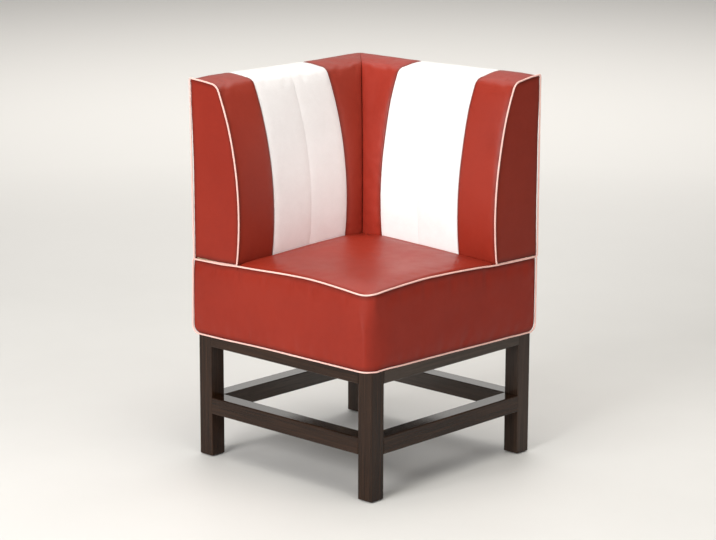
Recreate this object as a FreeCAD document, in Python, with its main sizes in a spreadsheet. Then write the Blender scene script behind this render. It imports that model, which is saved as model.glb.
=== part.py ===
import FreeCAD, Part
import math
import os
import Sketcher

# Corner booth seat: a square upholstered seat with two backs that meet in a mitre, on a stained wooden base.
# Millimetres, +Z up. The origin is on the floor at the middle of the plan.
# Front is -Y, right is +X, rear is +Y, left is -X. The backs stand on the left and the rear sides.

V = FreeCAD.Vector
doc = FreeCAD.newDocument("corner_booth_seat")

# ---------------------------------------------------------------- driving dimensions
SIZES = [
    # base
    ("base_half", 280.0, "half of the base frame's outer side"),
    ("leg_side", 42.0, "square leg"),
    ("glide_thick", 3.0, "glide under each leg"),
    ("glide_dia", 28.0, "glide disc"),
    ("pin_dia", 3.0, "glide nail"),
    ("pin_long", 12.0, "glide nail length in the leg"),
    ("base_top", 301.4, "top of the base"),
    ("rail_high", 29.0, "top rail height"),
    ("stretcher_low", 107.0, "underside of the stretchers"),
    ("stretcher_high", 41.0, "stretcher height"),
    ("tenon_thick", 12.0, "tenon thickness"),
    ("rail_tenon", 20.0, "top rail tenon height"),
    ("stretcher_tenon", 25.0, "stretcher tenon height"),
    ("arris", 2.5, "eased edge of the wood"),
    ("block_leg", 85.0, "corner block along each rail"),
    ("block_ear", 18.0, "corner block end thickness"),
    ("block_high", 24.0, "corner block thickness"),
    ("block_screw", 4.0, "corner block screw shank"),
    # seat
    ("seat_half", 286.2, "half of the seat cover's side"),
    ("boxing_low", 305.6, "lower edge of the seat's side cover"),
    ("skin", 1.2, "cover thickness"),
    ("lining", 0.8, "dust cover thickness"),
    ("pad_side", 10.0, "foam round the seat box"),
    ("seat_round", 30.0, "front right corner of the cover"),
    ("box_round", 24.0, "front right corner of the seat box"),
    ("wall_thick", 18.0, "seat box plywood"),
    ("wall_high", 93.0, "seat box height"),
    ("deck_thick", 12.0, "seat deck plywood"),
    ("seat_top", 481.4, "seat cover under the backs"),
    ("crown_top", 506.0, "highest point of the seat cover"),
    ("crown_round", 2400.0, "radius of the seat's crown"),
    ("sit_rear", 139.0, "edge of the crowned area, beside the backs"),
    ("sit_half", 285.5, "half side of the crowned area's outer edges"),
    ("bearer_wide", 90.0, "timber bearer under each back"),
    ("screw_shank", 5.0, "seat fixing screw"),
    ("screw_head", 10.0, "seat fixing screw head"),
    ("screw_spot", 150.0, "seat fixing screws from the middle of each side"),
    # backs
    ("back_half", 285.5, "half of the length of each back, over the covers"),
    ("bow_radius", 738.0, "radius of the back's bowed front"),
    ("bow_level", 593.0, "height of the deepest point of the back"),
    ("bow_deep", 150.5, "greatest depth of the back"),
    ("top_rear", 913.5, "top of the back at its rear edge"),
    ("top_front", 905.5, "top of the back at its front edge, before rounding"),
    ("top_round", 26.0, "rounded top front edge"),
    ("back_foam", 35.0, "foam on the back's front"),
    ("end_foam", 5.0, "foam on the back's end"),
    ("frame_top", 888.0, "top of the back's wooden frame"),
    ("board_thick", 6.0, "bent plywood front of the frame"),
    ("rib_thick", 18.0, "plywood rib"),
    ("foot_rail", 40.0, "back bottom rail height"),
    ("head_rail", 22.0, "back top rail height"),
    ("stripe_start", 167.0, "outer seam of the white stripe, from the middle of the side"),
    ("stripe_middle", 43.0, "centre seam of the white stripe, from the middle of the side"),
    ("stripe_stop", 81.0, "inner seam of the white stripe, past the middle of the side"),
    ("mitre_gap", 0.4, "gap between the two backs at the mitre"),
    # piping and bolts
    ("piping_radius", 2.0, "piping radius"),
    ("piping_out", 1.6, "piping centre outside the cover's edge"),
    ("bolt_dia", 8.0, "back fixing bolt"),
    ("bolt_line", 232.0, "bolts from the middle of the plan"),
    ("nut_flange", 22.0, "tee nut flange"),
    ("nut_barrel", 10.0, "tee nut barrel"),
]
sheet = doc.addObject("Spreadsheet::Sheet", "Sizes")
for row, (alias, number, note) in enumerate(SIZES, 1):
    sheet.set("A%d" % row, note)
    sheet.set("B%d" % row, str(number))
    sheet.setAlias("B%d" % row, alias)
doc.recompute()


class Size:
    """A number together with the sheet expression that gives it."""

    def __init__(self, value, text):
        self.value = float(value)
        self.text = text

    def _with(self, other, sign, swap=False):
        o = other if isinstance(other, Size) else Size(other, repr(float(other)))
        a, b = (o, self) if swap else (self, o)
        v = {"+": lambda: a.value + b.value, "-": lambda: a.value - b.value,
             "*": lambda: a.value * b.value, "/": lambda: a.value / b.value}[sign]()
        return Size(v, "(%s %s %s)" % (a.text, sign, b.text))

    def __add__(self, o): return self._with(o, "+")
    def __radd__(self, o): return self._with(o, "+", True)
    def __sub__(self, o): return self._with(o, "-")
    def __rsub__(self, o): return self._with(o, "-", True)
    def __mul__(self, o): return self._with(o, "*")
    def __rmul__(self, o): return self._with(o, "*", True)
    def __truediv__(self, o): return self._with(o, "/")
    def __neg__(self): return Size(-self.value, "(0 - %s)" % self.text)

    def root(self):
        return Size(math.sqrt(self.value), "sqrt(%s)" % self.text)


S = {alias: Size(number, "Sizes." + alias) for alias, number, note in SIZES}


def size(x):
    return x if isinstance(x, Size) else Size(x, repr(float(x)))


def bind(obj, path, x):
    obj.setExpression(path, size(x).text)


def turn(x, y, quarters):
    for _ in range(quarters % 4):
        x, y = -size(y), x
    return x, y


nodes = []


def node(obj, label):
    obj.Label = label
    nodes.append(obj)
    return obj


# ---------------------------------------------------------------- construction helpers
def box(name, x0, x1, y0, y1, z0, z1):
    b = doc.addObject("Part::Box", name)
    x0, x1, y0, y1, z0, z1 = (size(q) for q in (x0, x1, y0, y1, z0, z1))
    bind(b, "Length", x1 - x0)
    bind(b, "Width", y1 - y0)
    bind(b, "Height", z1 - z0)
    bind(b, "Placement.Base.x", x0)
    bind(b, "Placement.Base.y", y0)
    bind(b, "Placement.Base.z", z0)
    return b


def cylinder(name, x, y, z0, z1, dia):
    c = doc.addObject("Part::Cylinder", name)
    bind(c, "Radius", size(dia) / 2)
    bind(c, "Height", size(z1) - z0)
    bind(c, "Placement.Base.x", x)
    bind(c, "Placement.Base.y", y)
    bind(c, "Placement.Base.z", z0)
    return c


def lying(name, x, y, z, towards, length, dia):
    """A level cylinder from a point towards one of the four sides (0 front, 1 right, 2 rear, 3 left)."""
    c = doc.addObject("Part::Cylinder", name)
    aim = [V(0, -1, 0), V(1, 0, 0), V(0, 1, 0), V(-1, 0, 0)][towards % 4]
    c.Placement = FreeCAD.Placement(V(size(x).value, size(y).value, size(z).value),
                                    FreeCAD.Rotation(V(0, 0, 1), aim))
    bind(c, "Radius", size(dia) / 2)
    bind(c, "Height", length)
    bind(c, "Placement.Base.x", x)
    bind(c, "Placement.Base.y", y)
    bind(c, "Placement.Base.z", z)
    return c


def cut(name, base, tools):
    tools = list(tools)
    if len(tools) > 1:
        tool = doc.addObject("Part::Compound", name + "_tools")
        tool.Links = tools
    else:
        tool = tools[0]
    c = doc.addObject("Part::Cut", name)
    c.Base = base
    c.Tool = tool
    return c


def common(name, a, b):
    c = doc.addObject("Part::Common", name)
    c.Base = a
    c.Tool = b
    return c


def fuse(name, parts):
    f = doc.addObject("Part::MultiFuse", name)
    f.Shapes = list(parts)
    return f


def group(name, parts):
    c = doc.addObject("Part::Compound", name)
    c.Links = list(parts)
    return c


def plane(body, role):
    return next(f for f in body.Origin.OriginFeatures if f.Role == role)


def outline(body, name, role, points, lift):
    """A closed sketch on one of the body's origin planes. A point is (x, y), or (x, y, radius) when the edge that
    ends there is an arc bulging to the right of the way along it."""
    sk = body.newObject("Sketcher::SketchObject", name)
    sk.AttachmentSupport = [(plane(body, role), "")]
    sk.MapMode = "FlatFace"
    bind(sk, "AttachmentOffset.Base.z", lift)
    n = len(points)
    ends = []
    for i in range(n):
        a, b = points[i - 1], points[i]
        ax, ay, bx, by = (size(q).value for q in (a[0], a[1], b[0], b[1]))
        if len(b) == 3:
            r = size(b[2]).value
            mx, my = (ax + bx) / 2, (ay + by) / 2
            dx, dy = bx - ax, by - ay
            half = math.hypot(dx, dy) / 2
            rise = math.sqrt(r * r - half * half)
            cx, cy = mx - dy / (2 * half) * rise, my + dx / (2 * half) * rise
            t0, t1 = math.atan2(ay - cy, ax - cx), math.atan2(by - cy, bx - cx)
            g = sk.addGeometry(Part.ArcOfCircle(Part.Circle(V(cx, cy, 0), V(0, 0, 1), r), t0, t1), False)
            sk.addConstraint(Sketcher.Constraint("Radius", g, r))
            sk.setExpression("Constraints[%d]" % (sk.ConstraintCount - 1), size(b[2]).text)
        else:
            g = sk.addGeometry(Part.LineSegment(V(ax, ay, 0), V(bx, by, 0)), False)
        ends.append(g)
    for i in range(n):
        sk.addConstraint(Sketcher.Constraint("Coincident", ends[i], 2, ends[(i + 1) % n], 1))
        for kind, q in (("DistanceX", points[i][0]), ("DistanceY", points[i][1])):
            q = size(q)
            if abs(q.value) < 1e-9:
                sk.addConstraint(Sketcher.Constraint("PointOnObject", ends[i], 2, -2 if kind == "DistanceX" else -1))
            else:
                sk.addConstraint(Sketcher.Constraint(kind, -1, 1, ends[i], 2, q.value))
                sk.setExpression("Constraints[%d]" % (sk.ConstraintCount - 1), q.text)
    return sk


def pad(body, name, sk, length, back=False):
    p = body.newObject("PartDesign::Pad", name)
    p.Profile = sk
    p.Reversed = back
    bind(p, "Length", length)
    return p


def pocket_up(body, name, sk, length):
    p = body.newObject("PartDesign::Pocket", name)
    p.Profile = sk
    p.Reversed = True
    bind(p, "Length", length)
    return p


def ease(body, name, last, radius, wanted):
    """Round the edges of the last feature for which wanted(edge) holds."""
    doc.recompute()
    names = ["Edge%d" % (i + 1) for i, e in enumerate(last.Shape.Edges) if wanted(e)]
    f = body.newObject("PartDesign::Fillet", name)
    f.Base = (last, names)
    bind(f, "Radius", radius)
    return f


def is_line(e, axis):
    if not isinstance(e.Curve, (Part.Line, Part.LineSegment)):
        return False
    d = e.Vertexes[-1].Point - e.Vertexes[0].Point
    return abs(abs(d.normalize().dot(axis)) - 1) < 1e-6


def block(name, x0, x1, y0, y1, z0, z1, round_right_front=None):
    """An upright block whose front right vertical edge may be rounded."""
    b = doc.addObject("PartDesign::Body", name)
    sk = outline(b, name + "_plan", "XY_Plane", [(x0, y0), (x1, y0), (x1, y1), (x0, y1)], z0)
    p = pad(b, name + "_pad", sk, size(z1) - z0)
    if round_right_front is not None:
        gx, gy = size(x1).value, size(y0).value
        ease(b, name + "_round", p, round_right_front,
             lambda e: is_line(e, V(0, 0, 1)) and abs(e.Vertexes[0].X - gx) < 1e-3 and abs(e.Vertexes[0].Y - gy) < 1e-3)
    return b


# ---------------------------------------------------------------- base
SIDES = ["front", "right", "rear", "left"]
CORNERS = ["front_left", "front_right", "rear_right", "rear_left"]
B = S["base_half"]
L = S["leg_side"]
inner = B - L
mid = B - L / 2
tn = S["tenon_thick"] / 2
rail_low = S["base_top"] - S["rail_high"]
rail_tenon_low = rail_low + (S["rail_high"] - S["rail_tenon"]) / 2
stretcher_tenon_low = S["stretcher_low"] + (S["stretcher_high"] - S["stretcher_tenon"]) / 2
spot = S["screw_spot"]
wall_mid = S["seat_half"] - S["skin"] - S["pad_side"] - S["wall_thick"] / 2
block_z = S["base_top"] - 2 - S["block_high"]
block_mid = block_z + S["block_high"] / 2
ear_spot = inner - S["block_leg"] + 10

for k, corner in enumerate(CORNERS):
    b = doc.addObject("PartDesign::Body", "leg_blank_%d" % k)
    sk = outline(b, "leg_plan_%d" % k, "XY_Plane",
                 [(-B, -B), (-inner, -B), (-inner, -inner), (-B, -inner)], S["glide_thick"])
    p = pad(b, "leg_pad_%d" % k, sk, S["base_top"] - S["glide_thick"])
    f = ease(b, "leg_arris_%d" % k, p, S["arris"], lambda e: is_line(e, V(0, 0, 1)))
    ell = [(-inner, -(mid + tn)), (-(mid + tn), -(mid + tn)), (-(mid + tn), -inner), (-(mid - tn), -inner),
           (-(mid - tn), -(mid - tn)), (-inner, -(mid - tn))]
    ell.reverse()
    for tag, low, high in (("rail", rail_tenon_low, S["rail_tenon"]),
                           ("stretcher", stretcher_tenon_low, S["stretcher_tenon"])):
        sk = outline(b, "%s_mortise_plan_%d" % (tag, k), "XY_Plane", ell, low)
        pocket_up(b, "%s_mortise_%d" % (tag, k), sk, high)
    b.Placement = FreeCAD.Placement(V(0, 0, 0), FreeCAD.Rotation(V(0, 0, 1), 90.0 * k))
    x, y = turn(-mid, -mid, k)
    hole = cylinder("glide_hole_%d" % k, x, y, S["glide_thick"], S["glide_thick"] + S["pin_long"], S["pin_dia"])
    node(cut("leg_%d" % k, b, [hole]), "leg_" + corner)

for k, side in enumerate(SIDES):
    for tag, low, high, t_low, t_high in (
            ("top_rail", rail_low, S["rail_high"], rail_tenon_low, S["rail_tenon"]),
            ("stretcher", S["stretcher_low"], S["stretcher_high"], stretcher_tenon_low, S["stretcher_tenon"])):
        b = doc.addObject("PartDesign::Body", "%s_blank_%d" % (tag, k))
        sk = outline(b, "%s_plan_%d" % (tag, k), "XY_Plane",
                     [(-inner, -B), (inner, -B), (inner, -inner), (-inner, -inner)], low)
        p = pad(b, "%s_pad_%d" % (tag, k), sk, high)
        floor = size(low).value
        if tag == "top_rail":
            f = ease(b, "%s_arris_%d" % (tag, k), p, S["arris"],
                     lambda e: is_line(e, V(1, 0, 0)) and abs(e.Vertexes[0].Z - floor) < 1e-3)
        else:
            f = ease(b, "%s_arris_%d" % (tag, k), p, S["arris"], lambda e: is_line(e, V(1, 0, 0)))
        sk = outline(b, "%s_tenon_plan_%d" % (tag, k), "XY_Plane",
                     [(-(mid + tn), -(mid + tn)), (mid + tn, -(mid + tn)), (mid - tn, -(mid - tn)),
                      (-(mid - tn), -(mid - tn))], t_low)
        pad(b, "%s_tenon_%d" % (tag, k), sk, t_high)
        b.Placement = FreeCAD.Placement(V(0, 0, 0), FreeCAD.Rotation(V(0, 0, 1), 90.0 * k))
        if tag == "stretcher":
            node(b, "stretcher_" + side)
            continue
        tools = []
        for j, sx in enumerate((-1, 1)):
            x, y = turn(spot * sx, -wall_mid, k)
            tools.append(cylinder("rail_bore_%d_%d" % (k, j), x, y, rail_low - 1, S["base_top"] + 1, S["screw_shank"]))
            tools.append(cylinder("rail_sink_%d_%d" % (k, j), x, y, rail_low - 1, rail_low + 8, S["screw_head"] + 2))
            x, y = turn(ear_spot * sx, -inner + 1, k)
            tools.append(lying("rail_pilot_%d_%d" % (k, j), x, y, block_mid, k, 23, S["block_screw"]))
        node(cut("top_rail_%d" % k, b, tools), "top_rail_" + side)

blocks, block_screws, glides = [], [], []
for k in range(4):
    leg, ear = S["block_leg"], S["block_ear"]
    plan = [(-inner, -inner), (leg - inner, -inner), (leg - inner, ear - inner), (ear - inner, leg - inner),
            (-inner, leg - inner)]
    b = doc.addObject("PartDesign::Body", "corner_block_blank_%d" % k)
    pad(b, "corner_block_pad_%d" % k, outline(b, "corner_block_plan_%d" % k, "XY_Plane", plan, block_z), S["block_high"])
    b.Placement = FreeCAD.Placement(V(0, 0, 0), FreeCAD.Rotation(V(0, 0, 1), 90.0 * k))
    tools = []
    for j in range(2):
        # one screw towards the side that this corner starts, one towards the side before it
        if j == 0:
            px, py, way = -ear_spot, ear - inner, k
        else:
            px, py, way = ear - inner, -ear_spot, k + 3
        x, y = turn(px, py, k)
        tools.append(lying("block_bore_%d_%d" % (k, j), x, y, block_mid, way, ear + 2, S["block_screw"]))
        back_x, back_y = (px, py + 30) if j == 0 else (px + 30, py)
        x2, y2 = turn(back_x, back_y, k)
        tools.append(lying("block_sink_%d_%d" % (k, j), x2, y2, block_mid, way, 30, 9))
        head_x, head_y = (px, py + 3) if j == 0 else (px + 3, py)
        x3, y3 = turn(head_x, head_y, k)
        block_screws.append(fuse("block_screw_%d_%d" % (k, j), [
            lying("block_screw_head_%d_%d" % (k, j), x3, y3, block_mid, way, 3, 8),
            lying("block_screw_shank_%d_%d" % (k, j), x, y, block_mid, way, ear + 22, S["block_screw"])]))
    blocks.append(cut("corner_block_%d" % k, b, tools))
    x, y = turn(-mid, -mid, k)
    glides.append(fuse("glide_%d" % k, [
        cylinder("glide_disc_%d" % k, x, y, 0, S["glide_thick"], S["glide_dia"]),
        cylinder("glide_pin_%d" % k, x, y, S["glide_thick"], S["glide_thick"] + S["pin_long"], S["pin_dia"])]))
node(group("corner_block_set", blocks), "corner_blocks")
node(group("block_screw_set", block_screws), "corner_block_screws")
node(group("glide_set", glides), "leg_glides")

# ---------------------------------------------------------------- seat box
low = S["base_top"] + S["lining"]
wall_top = low + S["wall_high"]
deck_top = wall_top + S["deck_thick"]
box_half = S["seat_half"] - S["skin"] - S["pad_side"]
under_cover = S["seat_top"] - S["skin"]
shank_top = low + 25
# the box, its deck and its foam are rounded at the front right corner, inside the cover's own rounding
box_plan = block("box_plan", -box_half, box_half, -box_half, box_half, S["base_top"] - 5, under_cover + 5, S["box_round"])

fixing, dust_holes = [], []
for k, side in enumerate(SIDES):
    t = S["wall_thick"]
    long_half = box_half if k % 2 == 0 else box_half - t
    x0, y0 = turn(-long_half, -box_half, k)
    x1, y1 = turn(long_half, -(box_half - t), k)
    xs = sorted((size(x0), size(x1)), key=lambda q: q.value)
    ys = sorted((size(y0), size(y1)), key=lambda q: q.value)
    blank = box("seat_wall_blank_%d" % k, xs[0], xs[1], ys[0], ys[1], low, wall_top)
    if side in ("front", "right"):
        blank = common("seat_wall_round_%d" % k, blank, box_plan)
    tools = []
    for j, sx in enumerate((-1, 1)):
        x, y = turn(spot * sx, -wall_mid, k)
        tools.append(cylinder("wall_pilot_%d_%d" % (k, j), x, y, low - 1, shank_top, S["screw_shank"]))
        dust_holes.append(cylinder("dust_hole_%d_%d" % (k, j), x, y, low - 3, low + 3, S["screw_shank"]))
        fixing.append(fuse("fixing_screw_%d_%d" % (k, j), [
            cylinder("fixing_shank_%d_%d" % (k, j), x, y, rail_low + 8, shank_top, S["screw_shank"]),
            cylinder("fixing_head_%d_%d" % (k, j), x, y, rail_low + 4.5, rail_low + 8, S["screw_head"])]))
    node(cut("seat_wall_%d" % k, blank, tools), "seat_box_" + side)
node(group("fixing_set", fixing), "seat_fixing_screws")

dust = box_half
dust_sheet = box("dust_sheet", -dust, dust, -dust, dust, S["base_top"], low)
node(cut("dust_cover", common("dust_round", dust_sheet, box_plan), dust_holes), "seat_dust_cover")

bolt_spots = [(-S["bolt_line"], size(-190)), (-S["bolt_line"], size(10)), (-S["bolt_line"], size(110)),
              (size(190), S["bolt_line"]), (size(-10), S["bolt_line"]), (size(-110), S["bolt_line"])]


def bolt_bores(name, spots, z0, z1, dia=None):
    return [cylinder("%s_bore_%d" % (name, i), x, y, z0, z1, dia or S["bolt_dia"]) for i, (x, y) in enumerate(spots)]


deck_sheet = box("deck_sheet", -box_half, box_half, -box_half, box_half, wall_top, deck_top)
node(cut("deck", common("deck_round", deck_sheet, box_plan),
         bolt_bores("deck", bolt_spots, wall_top - 1, deck_top + 1)), "seat_deck")
bearer_in = box_half - S["bearer_wide"]
node(cut("bearer_a", box("bearer_a_blank", -box_half, -bearer_in, -box_half, box_half, deck_top, under_cover),
         bolt_bores("bearer_a", bolt_spots[:3], deck_top - 1, under_cover + 1)), "back_bearer_left")
node(cut("bearer_b", box("bearer_b_blank", -bearer_in, box_half, bearer_in, box_half, deck_top, under_cover),
         bolt_bores("bearer_b", bolt_spots[3:], deck_top - 1, under_cover + 1)), "back_bearer_rear")

# ---------------------------------------------------------------- seat foam and cover
H, K, R0 = S["seat_half"], S["skin"], S["seat_round"]


def crown(name, drop):
    s = doc.addObject("Part::Sphere", name)
    bind(s, "Radius", S["crown_round"] - drop)
    bind(s, "Placement.Base.z", S["crown_top"] - S["crown_round"])
    return s


crown_out = crown("crown_out", size(0))
crown_in = crown("crown_in", K)
rear, sit = S["sit_rear"], S["sit_half"]
sit_out = block("sit_out", -rear, sit, -sit, rear, under_cover, 520, R0 - (H - sit))
sit_in = block("sit_in", K - rear, sit - K, K - sit, rear - K, under_cover - 10, 519, R0 - (H - sit) - K)
sit_foam = block("sit_foam", K - rear, sit - K, K - sit, rear - K, under_cover, 519, R0 - (H - sit) - K)
dome_out = common("dome_out", sit_out, crown_out)
dome_in = common("dome_in", sit_in, crown_in)
dome_foam = common("dome_foam", sit_foam, crown_in)

top_sheet = block("top_sheet", -H, H, -H, H, under_cover, S["seat_top"], R0)
node(cut("cover_top", fuse("cover_top_blank", [top_sheet, dome_out]),
         [dome_in] + bolt_bores("cover", bolt_spots, under_cover - 1, S["seat_top"] + 1)), "seat_cover_top")

foam_main = box("foam_main", -bearer_in, box_half, -box_half, bearer_in, deck_top, under_cover)
node(fuse("seat_foam", [common("foam_round", foam_main, box_plan), dome_foam]), "seat_foam")

pad_out = block("pad_out", K - H, H - K, K - H, H - K, S["boxing_low"], under_cover, R0 - K)
node(cut("side_padding", pad_out, [box_plan]), "seat_side_padding")

band_out = block("band_out", -H, H, -H, H, S["boxing_low"], under_cover, R0)
band_in = block("band_in", K - H, H - K, K - H, H - K, S["base_top"] - 5, under_cover + 5, R0 - K)
band = cut("band", band_out, [band_in])
rear_side = fuse("rear_side", [box("rear_side_a", -H - 5, K - H, K - H, H + 5, S["base_top"] - 5, under_cover + 5),
                               box("rear_side_b", -H - 5, H - K, H - K, H + 5, S["base_top"] - 5, under_cover + 5)])
node(cut("boxing_front", band, [rear_side]), "seat_boxing_front")
node(common("boxing_rear", band, rear_side), "seat_boxing_rear")

# ---------------------------------------------------------------- backs: the left one, then its mirror image
BH = S["back_half"]
foot = S["seat_top"]
bow_x = -BH + S["bow_deep"] - S["bow_radius"]


def bow(inset, z):
    r = S["bow_radius"] - inset
    dz = size(z) - S["bow_level"]
    return bow_x + (r * r - dz * dz).root()


def back_form(name, inset, rear_x, low_z, top_rear, top_front, y_start, rounding=None):
    """The back's cross-section, from its outer end to past the mitre. Seen along +Y it runs round from the lower
    rear corner, forward, up the bowed front and back along the top."""
    b = doc.addObject("PartDesign::Body", name)
    pts = [(rear_x, low_z), (bow(inset, low_z), low_z), (bow(inset, top_front), top_front, S["bow_radius"] - inset),
           (rear_x, top_rear)]
    sk = outline(b, name + "_section", "XZ_Plane", pts, -size(y_start))
    p = pad(b, name + "_pad", sk, BH - y_start, True)
    if rounding is not None:
        fx, fz = bow(inset, top_front).value, size(top_front).value
        ease(b, name + "_round", p, rounding,
             lambda e: is_line(e, V(0, 1, 0)) and abs(e.Vertexes[0].X - fx) < 1e-3 and abs(e.Vertexes[0].Z - fz) < 1e-3)
    return b


mitre = doc.addObject("Part::Box", "mitre")
mitre.Length, mitre.Width, mitre.Height = 900, 900, 1200
mitre.Placement = FreeCAD.Placement(V(0, 0, -100), FreeCAD.Rotation(V(0, 0, 1), 45))
bind(mitre, "Placement.Base.x", 450 * math.sqrt(0.5) - S["mitre_gap"] / 2)
bind(mitre, "Placement.Base.y", -450 * math.sqrt(0.5) - S["mitre_gap"] / 2)

form = back_form("cover_form", size(0), -BH, foot, S["top_rear"], S["top_front"], -BH, S["top_round"])
core = back_form("core_form", K, -BH - 10, foot - 10, S["top_rear"] - K + 1, S["top_front"] - K, -BH + K,
                 S["top_round"] - K)
shell = cut("panel_shell", form, [core])
end_y = -BH + K
cav_y = end_y + S["end_foam"]
FI = K + S["back_foam"]
cavity = back_form("cavity_form", FI, -BH - 10, foot - 10, S["frame_top"], S["frame_top"], cav_y)
frame_form = back_form("frame_form", FI + S["board_thick"], -BH - 20, foot - 20, S["frame_top"] + 10,
                       S["frame_top"] + 10, cav_y - 10)

far = size(400)
left = {}


def slab(name, y0, y1, z0=None, z1=None, x0=None, x1=None):
    return box(name, -far if x0 is None else x0, far if x1 is None else x1, y0, y1,
               foot if z0 is None else z0, size(1000) if z1 is None else z1)


def mitred(name, base):
    return cut(name, base, [mitre])


left["end_cover"] = common("end_cover", form, slab("end_slab", -BH, end_y))
left["panel_outer"] = common("panel_outer", shell, slab("outer_slab", end_y, -S["stripe_start"]))
left["stripe_outer"] = common("stripe_outer", shell, slab("stripe_slab_a", -S["stripe_start"], -S["stripe_middle"]))
left["stripe_inner"] = common("stripe_inner", shell, slab("stripe_slab_b", -S["stripe_middle"], S["stripe_stop"]))
left["panel_inner"] = mitred("panel_inner", common("panel_inner_blank", shell,
                                                   slab("inner_slab", S["stripe_stop"], far)))
left["rear_cover"] = mitred("rear_cover", common("rear_cover_blank", core,
                                                 slab("rear_slab", end_y, far, foot, None, -BH, K - BH)))
core_body = common("core_body", core, slab("core_slab", end_y, far, foot, None, K - BH))
left["foam"] = mitred("back_foam", cut("back_foam_blank", core_body, [cavity]))
cavity_body = common("cavity_body", cavity, slab("cavity_slab", cav_y, far, foot, S["frame_top"], K - BH))
left["front_board"] = mitred("front_board", cut("front_board_blank", cavity_body, [frame_form]))
frame_body = common("frame_body", cavity_body, frame_form)
rail_top = foot + S["foot_rail"]
rib_top = S["frame_top"] - S["head_rail"]
bottom_rail = mitred("foot_rail", common("foot_rail_blank", frame_body,
                                         slab("foot_slab", cav_y, far, foot, rail_top)))
bores = bolt_bores("foot_rail", bolt_spots[:3], foot - 1, rail_top + 1)
bores += [cylinder("barrel_bore_%d" % i, x, y, rail_top - 10, rail_top + 1, S["nut_barrel"])
          for i, (x, y) in enumerate(bolt_spots[:3])]
left["bottom_rail"] = cut("foot_rail_bored", bottom_rail, bores)
left["top_rail"] = mitred("head_rail", common("head_rail_blank", frame_body,
                                              slab("head_slab", cav_y, far, rib_top, S["frame_top"])))
for name, y0 in (("rib_outer", cav_y), ("rib_middle", size(-54)), ("rib_inner", size(146))):
    left[name] = common(name, frame_body, slab(name + "_slab", y0, y0 + S["rib_thick"], rail_top, rib_top))

for key, obj in left.items():
    node(obj, "left_back_" + key)
    m = doc.addObject("Part::Mirroring", "mirror_" + key)
    m.Source = obj
    m.Base = V(0, 0, 0)
    m.Normal = V(1, 1, 0)
    node(m, "rear_back_" + key)


# ---------------------------------------------------------------- piping: straight runs joined by tangent arcs
def tube(points, radii, radius, closed):
    """A round tube along the points, with each corner rounded to its radius."""
    n = len(points)
    corners = range(n) if closed else range(1, n - 1)
    trims = {}
    for i in corners:
        a = (points[i - 1] - points[i]).normalize()
        b = (points[(i + 1) % n] - points[i]).normalize()
        turn_half = (math.pi - a.getAngle(b)) / 2
        d = radii[i] * math.tan(turn_half)
        p0, p1 = points[i] + a * d, points[i] + b * d
        way = (a + b).normalize()
        centre = points[i] + way * (radii[i] / math.cos(turn_half))
        trims[i] = (p0, centre + (points[i] - centre).normalize() * radii[i], p1)
    edges = []
    first = 0 if closed else 1
    here = trims[n - 1][2] if closed else points[0]
    for i in range(first, n):
        if i in trims:
            p0, pm, p1 = trims[i]
            if (p0 - here).Length > 1e-6:
                edges.append(Part.LineSegment(here, p0).toShape())
            edges.append(Part.Arc(p0, pm, p1).toShape())
            here = p1
        else:
            edges.append(Part.LineSegment(here, points[i]).toShape())
            here = points[i]
    wire = Part.Wire(edges)
    start = wire.Edges[0]
    at = start.valueAt(start.FirstParameter)
    along = start.tangentAt(start.FirstParameter)
    ring = Part.Wire([Part.Circle(at, along, radius).toShape()])
    solid = wire.makePipeShell([ring], True, False)
    length = sum(e.Length for e in edges)
    print("tube length %.0f, volume over section %.4f" % (length, solid.Volume / (math.pi * radius ** 2 * length)))
    return solid


def value(alias):
    return float(sheet.get(alias))


pr, po = value("piping_radius"), value("piping_out")
hs = value("seat_half") + po
zt, zb = value("seat_top") + po, value("boxing_low") - po
rc = value("seat_round") + po
loop = [V(-hs, -hs, zt), V(0, -hs, zt), V(hs, -hs, zt), V(hs, hs, zt), V(hs, hs, zb), V(hs, -hs, zb), V(-hs, -hs, zb)]
bends = [2.5, None, rc, 2.5, 2.5, rc, 2.5]
keep = [i for i, q in enumerate(bends) if q is not None]
piping = doc.addObject("Part::Feature", "seat_piping_loop")
piping.Shape = tube([loop[i] for i in keep], [bends[i] for i in keep], pr, True)
piping.Placement = FreeCAD.Placement()
node(piping, "seat_piping")

bh, br = value("back_half"), value("bow_radius")
cx0 = -bh + value("bow_deep") - br
ends = value("seat_top") + 7.0
levels = [ends + 36.0 * i for i in range(12)]
levels = [z for z in levels if z < value("top_front") - 12] + [value("top_front") + po * 0.6]
path = [V(-bh - po, -bh - po, ends), V(-bh - po, -bh - po, value("top_rear") + po)]
path += [V(cx0 + math.sqrt((br + po) ** 2 - (z - value("bow_level")) ** 2), -bh - po, z) for z in reversed(levels)]
turns = [0.0, 4.0, value("top_round") * 0.5]
for i in range(3, len(path) - 1):
    a, b = path[i - 1] - path[i], path[i + 1] - path[i]
    half = (math.pi - a.getAngle(b)) / 2
    turns.append(0.45 * min(a.Length, b.Length) / math.tan(half))
turns.append(0.0)
back_piping = doc.addObject("Part::Feature", "back_piping_run")
back_piping.Shape = tube(path, turns, pr, False)
back_piping.Placement = FreeCAD.Placement()
node(back_piping, "left_back_piping")
m = doc.addObject("Part::Mirroring", "mirror_piping")
m.Source = back_piping
m.Base = V(0, 0, 0)
m.Normal = V(1, 1, 0)
node(m, "rear_back_piping")

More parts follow.
